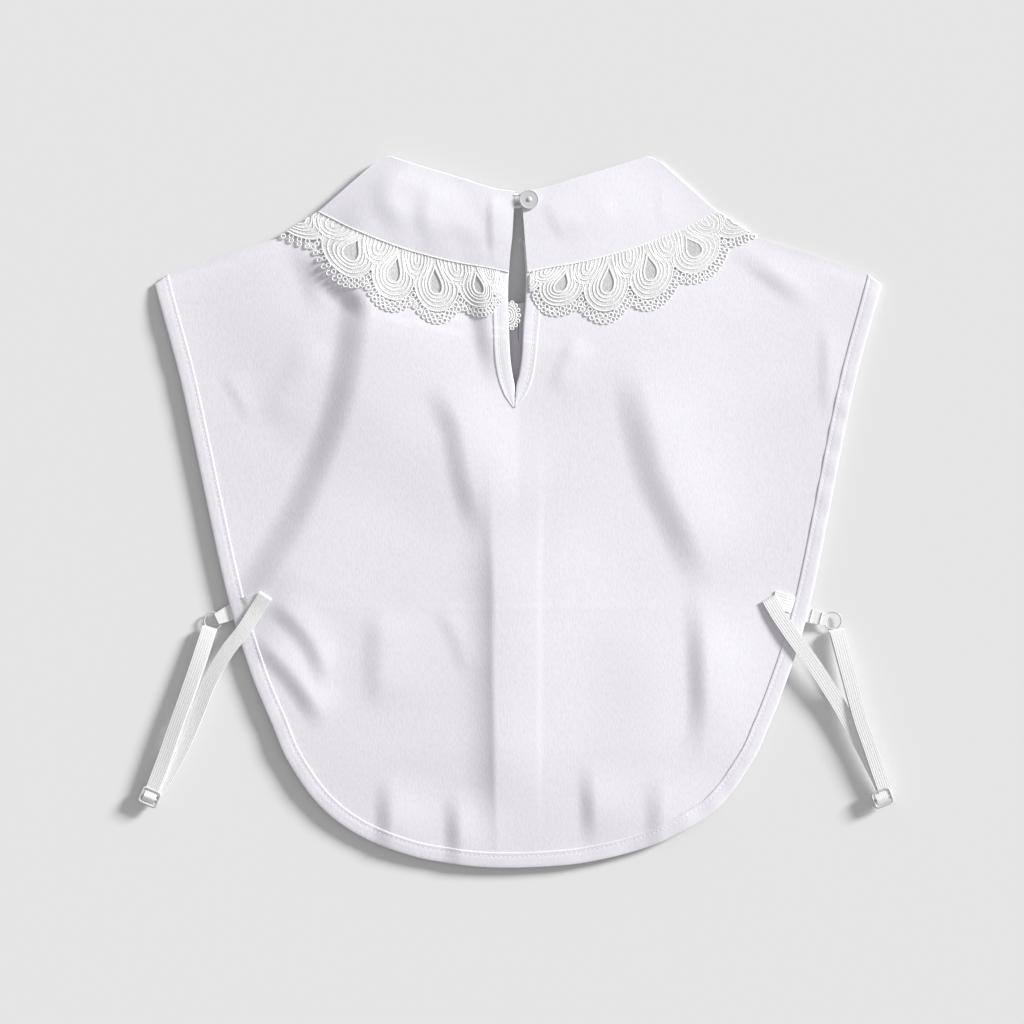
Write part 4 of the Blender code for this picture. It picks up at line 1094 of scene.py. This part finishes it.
class LaceCollarSettings(bpy.types.PropertyGroup):
    """Sizes and colours of the lace collar."""

    cloth_colour: bpy.props.FloatVectorProperty(
        name="Cloth", description="Colour of the crepe", subtype="COLOR", size=3, min=0, max=1,
        default=(0.83, 0.81, 0.865))
    collar_colour: bpy.props.FloatVectorProperty(
        name="Collar", description="Colour of the collar's cloth", subtype="COLOR", size=3, min=0, max=1,
        default=(0.83, 0.815, 0.865))
    lace_colour: bpy.props.FloatVectorProperty(
        name="Lace", description="Colour of the lace and of the sewing thread", subtype="COLOR", size=3,
        min=0, max=1, default=(0.97, 0.97, 0.965))
    elastic_colour: bpy.props.FloatVectorProperty(
        name="Elastic", description="Colour of the straps' elastic", subtype="COLOR", size=3, min=0, max=1,
        default=(0.9, 0.9, 0.905))
    button_colour: bpy.props.FloatVectorProperty(
        name="Button", description="Colour of the pearly button", subtype="COLOR", size=3, min=0, max=1,
        default=(0.66, 0.66, 0.675))
    floor_colour: bpy.props.FloatVectorProperty(
        name="Floor", description="Colour of the surface below", subtype="COLOR", size=3, min=0, max=1,
        default=(0.78, 0.78, 0.78))
    fold_depth: bpy.props.FloatProperty(
        name="Fold depth", description="Share of the full depth of the back's folds", subtype="FACTOR",
        min=0, max=2, default=1.0)
    cord_width: bpy.props.FloatProperty(
        name="Cord width", description="Thickness of the lace's cords", unit="LENGTH",
        min=0.0003, max=0.002, default=0.00085)
    hem_width: bpy.props.FloatProperty(
        name="Hem width", description="Width of the turned hem", unit="LENGTH",
        min=0.004, max=0.015, default=HEM_WIDTH * MM)


class LACECOLLAR_OT_panels(bpy.types.Operator):
    """Make the back and the front panel"""

    bl_idname = "lace_collar.panels"
    bl_label = "Panels"

    def execute(self, context):
        made = finishes()
        grids = []
        for side in (1, -1):
            middle = resample(np.array(FRONT_MIDDLE), 76)
            grids.append(panel_half(side, FRONT_INSET, middle, FRONT_NECK, 56))
        piece = build_panel("front_panel_cloth", grids, front_height, made["Crepe front"], ["front_panel"])
        cloth_area(piece)
        middle = resample(np.array(BACK_MIDDLE), 132)
        grids = []
        for side in (1, -1):
            cut = smooth_curve(flipped(SLIT_CUT[side], side), 60)
            cut[0] = SLIT_END
            inner = np.vstack([middle, resample(cut, 45)[1:]])
            grids.append(panel_half(side, BACK_INSET, inner, BACK_NECK, 108))
        build_panel("back_panel_cloth", grids, back_height, made["Crepe back"], ["back_panel"])
        return {"FINISHED"}


class LACECOLLAR_OT_bindings(bpy.types.Operator):
    """Make the turned hem, the binding of the slit and their stitches"""

    bl_idname = "lace_collar.bindings"
    bl_label = "Bindings"

    def execute(self, context):
        made = finishes()
        width = context.scene.lace_collar.hem_width / MM
        right, left = (edge_line(side, 0.0, 480) for side in (1, -1))
        outer = np.vstack([left[::-1], right[1:]])
        right, left = (edge_line(side, width, 480) for side in (1, -1))
        inner = np.vstack([left[::-1], right[1:]])
        inner = resample(inner, len(outer))
        for end, sign in ((0, -1), (-1, 1)):
            share = ease(np.linspace(0, 1, HEM_END_POINTS))[:, None]
            goal = np.array(HEM_END) * (sign, 1)
            rows = slice(0, HEM_END_POINTS) if end == 0 else slice(-HEM_END_POINTS, None)
            fade = share[::-1] if end == 0 else share
            inner[rows] = inner[rows] * (1 - fade) + (goal + (outer[rows] - outer[end])) * fade
        run = lengths_along(outer)

        def base(plan):
            ripple = np.sin(run / 3.1 + 2 * np.sin(run / 29)) * np.clip(np.sin(run / 37 + 1) + 0.2, 0, 1)
            return back_height(plan) + HEM_RIPPLE * ripple[:, None]

        points, faces, grid = strip(outer, inner, HEM_PROFILE, base)
        band = new_piece("hem_band", points, faces, made["Crepe back"])
        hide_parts("back_binding")
        line = resample(grid[:, 9] + (0, 0, 0.03), 900)
        points, faces = stitches(line, (0, 0, 1), *STITCHES["hem"])
        new_piece("hem_stitches", points, faces, made["Sewing thread"])
        bands, sewn = [], []
        for side in (1, -1):
            table = SLIT_BINDING[side]
            outer = smooth_curve(flipped(table["outer"], side), 120)
            inner = smooth_curve(flipped(table["inner"], side), 120)
            points, faces, grid = strip(outer, inner, SLIT_PROFILE, back_height)
            bands.append((points, faces))
            sewn.append(stitches(grid[8:112, 6] + (0, 0, 0.05), (0, 0, 1), *STITCHES["slit"]))
        points, faces = joined(bands)
        piece = new_piece("slit_binding_cloth", points, faces, made["Crepe collar"])
        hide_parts("slit_binding_left", "slit_binding_right")
        ring, faces = ring_template(0.6, 0.2)
        sewn.append((ring + SLIT_RING, faces))
        points, faces = joined(sewn)
        new_piece("slit_stitches", points, faces, made["Sewing thread"])
        back = bpy.data.objects["back_panel_cloth"]
        cloth_area(back)
        return {"FINISHED"}


class LACECOLLAR_OT_collar(bpy.types.Operator):
    """Make both halves of the collar with their edge stitches"""

    bl_idname = "lace_collar.collar"
    bl_label = "Collar"

    def execute(self, context):
        made = finishes()
        for side, word in ((1, "right"), (-1, "left")):
            grid = collar_grid(side)
            rows, columns = grid.shape[:2]
            points, faces = grid.reshape(-1, 3), grid_faces(rows, columns)
            piece = new_piece(f"collar_{word}_cloth", points, faces.tolist(), made["Crepe collar"],
                              wall=CLOTH_WALL)
            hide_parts(f"collar_{word}")
            edge = grid[:, -1]
            bead = tube(edge + (0, 0, 0.08), (0, 0, 1), 0.32, 8)
            sewn = stitches(edge + (0, 0, 0.34), (0, 0, 1), *STITCHES["fall"])
            points, faces = joined([bead, sewn])
            new_piece(f"collar_{word}_edge", points, faces, made["Sewing thread"])
            cloth_area(piece)
        return {"FINISHED"}


class LACECOLLAR_OT_lace(bpy.types.Operator):
    """Make the lace of both halves: ground, cords and rings, and a dark sheet of painted shadow in the
    teardrops' openings
    """

    bl_idname = "lace_collar.lace"
    bl_label = "Lace"

    def execute(self, context):
        made = finishes()
        last = SIDE_SCALLOP + FRONT_SCALLOPS
        for side, word in ((1, "right"), (-1, "left")):
            first = LACE_FIRST[side]
            points, faces, lower, shadow_faces, uv = build_ground(side, first, last)
            piece = new_piece(f"lace_{word}_ground", points, faces.tolist(), made["Lace ground"],
                              uv=uv, wall=GROUND_WALL)
            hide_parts(f"lace_{word}")
            # a dark sheet of painted shadow in the teardrops' openings
            used, shadow_faces = np.unique(shadow_faces, return_inverse=True)
            new_piece(f"lace_{word}_net", lower[used], shadow_faces.reshape(-1, 4).tolist(), made["Lace net"],
                      uv=uv[used], wall=SHADOW_SHEET_WALL)
            parts = build_cords(side, first, last)
            if side < 0:
                parts += lace_end(context.scene.lace_collar.cord_width / MM / 2)
            points, faces = joined(parts)
            points[:, 2] = np.maximum(points[:, 2], LOWEST)
            new_piece(f"lace_{word}_cords", points, faces, made["Lace cord"])
            cloth_area(piece)
        return {"FINISHED"}


class LACECOLLAR_OT_straps(bpy.types.Operator):
    """Make the elastic straps with their rings, tabs and sliders"""

    bl_idname = "lace_collar.straps"
    bl_label = "Straps"

    def execute(self, context):
        made = finishes()
        for side, word in ((1, "right"), (-1, "left")):
            rows = STRAPS[side]
            lean = STRAP_LEAN[side]
            lower = [(x - 0.6, y + 0.4, z - 1.2, w) for x, y, z, w in rows["inner"]]
            outer = self.resting(rows["outer"][:4], side, 1.35) + rows["outer"][4:]
            under = rows["under"][:1] + self.resting(rows["under"][1:], side, 0.5)
            parts = [ribbon(under, side), ribbon(outer, side, lean), ribbon(rows["inner"], side, -lean),
                     ribbon(lower[::-1], side), ribbon(self.over_bar(rows["slider"]), side)]
            points, faces = joined(parts)
            piece = new_piece(f"strap_{word}_elastic", points, faces, made["Elastic"])
            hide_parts(f"strap_{word}")
            (x0, y0), (x1, y1) = rows["tab"]
            tab = [(x0 + (x1 - x0) * t, y0 + (y1 - y0) * t, z, w) for t, z, w in TAB_RUN]
            points, faces = ribbon(tab, side)
            piece = new_piece(f"tab_{word}_elastic", points, faces, made["Elastic"])
            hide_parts(f"tab_{word}")
            if side > 0:
                points, faces = joined([self.bartack(tab, share, side) for share in TACK_SHARES])
                new_piece("tab_right_stitches", points, faces, made["Sewing thread"])
            turn = np.linspace(0, math.tau, 65)[:-1]
            cx, cy = rows["ring"]
            path = np.stack([cx * side + RING_RADIUS * np.cos(turn), cy + RING_RADIUS * np.sin(turn),
                             RING_HEIGHT + 0 * turn], 1)
            points, faces = tube(path, (0, 0, 1), RING_WIRE, 12, closed=True)
            piece = new_piece(f"ring_{word}_wire", points, faces, made["Coated metal"])
            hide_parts(f"ring_{word}")
            points, faces = self.slider(rows["slider"], side)
            piece = new_piece(f"slider_{word}_frame", points, faces, made["Coated metal"])
            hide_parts(f"slider_{word}")
        return {"FINISHED"}

    @staticmethod
    def resting(rows, side, gap):
        """Rows of a ribbon lifted where needed to lie over the back by the gap."""
        plan = np.array([(x * side, y) for x, y, _, _ in rows])
        floor = back_height(plan) + gap
        return [(x, y, max(z, float(low)), w) for (x, y, z, w), low in zip(rows, floor)]

    @staticmethod
    def bartack(rows, share, side):
        """Close stitches straight across a ribbon at a share of its length."""
        table = flipped(rows, side)
        line = spline(table, np.linspace(0, len(table) - 1, 60))
        at = int(share * (len(line) - 1))
        ahead = unit(line[at + 1, :3] - line[at - 1, :3])
        across = unit(np.cross((0, 0, 1.0), ahead)) * line[at, 3] / 2 * 0.96
        middle = line[at, :3] + (0, 0, 0.42)
        ends = np.linspace(-1, 1, 40)[:, None] * across + middle
        return stitches(ends, (0, 0, 1), *STITCHES["tack"])

    @staticmethod
    def over_bar(place):
        """Rows of the short piece of elastic that bends over the slider's middle bar."""
        x, y, degrees = place
        angle = math.radians(degrees)
        ahead = (-math.sin(angle), math.cos(angle))
        return [(x - ahead[0] * t, y + ahead[1] * t, z, 6.4) for t, z in OVER_BAR]

    @staticmethod
    def slider(place, side):
        """Frame of rounded bars: a rounded rectangle and the bar across its middle."""
        x, y, degrees = place
        turn = np.linspace(0, math.tau, 97)[:-1]
        circle = np.stack([np.cos(turn), np.sin(turn), 0 * turn], 1)
        rounded = np.sign(circle) * np.abs(circle) ** SLIDER["rounding"]
        loop = rounded * (SLIDER["length"], SLIDER["width"], 0)
        along = np.linspace(-1, 1, 12) * (SLIDER["length"] - 0.1)
        bar = np.stack([along, 0 * along, 0 * along], 1)
        points, faces = joined([tube(loop, (0, 0, 1), SLIDER["frame"], 10, closed=True),
                                tube(bar, (0, 0, 1), SLIDER["bar"], 10)])
        cosine, sine = math.cos(math.radians(-degrees)), math.sin(math.radians(-degrees))
        spin = np.array([[cosine, -sine, 0], [sine, cosine, 0], [0, 0, 1]])
        return (points @ spin.T + (x, y, SLIDER["height"])) * (side, 1, 1), faces


class LACECOLLAR_OT_button(bpy.types.Operator):
    """Make the button and its thread loop"""

    bl_idname = "lace_collar.button"
    bl_label = "Button and loop"

    def execute(self, context):
        made = finishes()
        x, y = BUTTON_CENTRE
        cloth = bpy.data.objects["collar_right_cloth"].data
        spots = np.empty(len(cloth.vertices) * 3, np.float32)
        cloth.vertices.foreach_get("co", spots)
        spots = spots.reshape(-1, 3) / MM
        near = np.linalg.norm(spots[:, :2] - (x, y), axis=1) < 5.0
        top = float(spots[near, 2].max()) + 0.25
        points, faces = lathe(BUTTON_PROFILE, (x, y, top), tilt=0.03)
        piece = new_piece("button_pearl", points, faces, made["Pearl"])
        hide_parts("button")
        path = smooth_curve([(x, y, top + rise) for x, y, rise in BUTTON_LOOP], 90)
        run = lengths_along(path)
        strands = []
        for phase in (0.0, math.pi):
            turn = run * math.tau / LOOP_PITCH + phase
            twist = np.stack([0 * turn, np.cos(turn), np.sin(turn)], 1) * LOOP_TWIST
            strands.append(tube(path + twist, (0, 0, 1), LOOP_STRAND, 8))
        points, faces = joined(strands)
        piece = new_piece("button_loop_thread", points, faces, made["Sewing thread"])
        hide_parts("button_loop")
        return {"FINISHED"}


class LACECOLLAR_OT_stage(bpy.types.Operator):
    """Make the floor, lights and camera"""

    bl_idname = "lace_collar.stage"
    bl_label = "Stage"

    def execute(self, context):
        scene = context.scene
        finish = Finish("Floor", Base_Color=(*scene.lace_collar.floor_colour, 1), Roughness=0.9,
                        Specular_IOR_Level=0.0)
        mesh = bpy.data.meshes.new("floor")
        corners = [(x * FLOOR_SIZE, y * FLOOR_SIZE, 0) for x, y in ((-1, -1), (1, -1), (1, 1), (-1, 1))]
        mesh.from_pydata(corners, [], [(0, 1, 2, 3)])
        mesh.materials.append(finish.material)
        floor = bpy.data.objects.new("floor", mesh)
        context.collection.objects.link(floor)
        key = bpy.data.lights.new("Key", "SUN")
        key.energy = SUN["energy"]
        key.angle = math.radians(SUN["spread"])
        lamp = bpy.data.objects.new("Key", key)
        context.collection.objects.link(lamp)
        bearing, height = math.radians(SUN["bearing"]), math.radians(SUN["height"])
        level = math.cos(height)
        way = Vector((math.cos(bearing) * level, math.sin(bearing) * level, math.sin(height)))
        lamp.rotation_mode = "QUATERNION"
        lamp.rotation_quaternion = way.to_track_quat("Z", "Y")
        world = bpy.data.worlds.new("Room")
        world.use_nodes = True
        room = world.node_tree.nodes["Background"].inputs
        room["Color"].default_value = (1, 1, 1, 1)
        room["Strength"].default_value = ROOM_LIGHT
        scene.world = world
        scene.view_settings.view_transform = "Standard"
        camera = bpy.data.cameras.new("Camera")
        camera.sensor_width = VIEW["sensor"]
        camera.lens = VIEW["sensor"] * VIEW["distance"] / VIEW["width"]
        eye = bpy.data.objects.new("Camera", camera)
        eye.location = (VIEW["x"], VIEW["y"], VIEW["distance"])
        context.collection.objects.link(eye)
        scene.camera = eye
        return {"FINISHED"}


OPERATORS = (
    LACECOLLAR_OT_stage,
    LACECOLLAR_OT_panels,
    LACECOLLAR_OT_bindings,
    LACECOLLAR_OT_collar,
    LACECOLLAR_OT_lace,
    LACECOLLAR_OT_straps,
    LACECOLLAR_OT_button,
)


class LACECOLLAR_PT_sidebar(bpy.types.Panel):
    """Lists the settings and the steps"""

    bl_label = "Lace collar"
    bl_idname = "LACECOLLAR_PT_sidebar"
    bl_space_type = "VIEW_3D"
    bl_region_type = "UI"
    bl_category = "Lace collar"

    def draw(self, context):
        for name in LaceCollarSettings.__annotations__:
            self.layout.prop(context.scene.lace_collar, name)
        for operator in OPERATORS:
            self.layout.operator(operator.bl_idname)


CLASSES = (LaceCollarSettings, *OPERATORS, LACECOLLAR_PT_sidebar)


def register():
    for item in CLASSES:
        bpy.utils.register_class(item)
    bpy.types.Scene.lace_collar = bpy.props.PointerProperty(type=LaceCollarSettings)


def unregister():
    del bpy.types.Scene.lace_collar
    for item in reversed(CLASSES):
        bpy.utils.unregister_class(item)


def main():
    """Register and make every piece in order."""
    register()
    for operator in OPERATORS:
        group, name = operator.bl_idname.split(".")
        getattr(getattr(bpy.ops, group), name)()


if __name__ == "__main__":
    main()
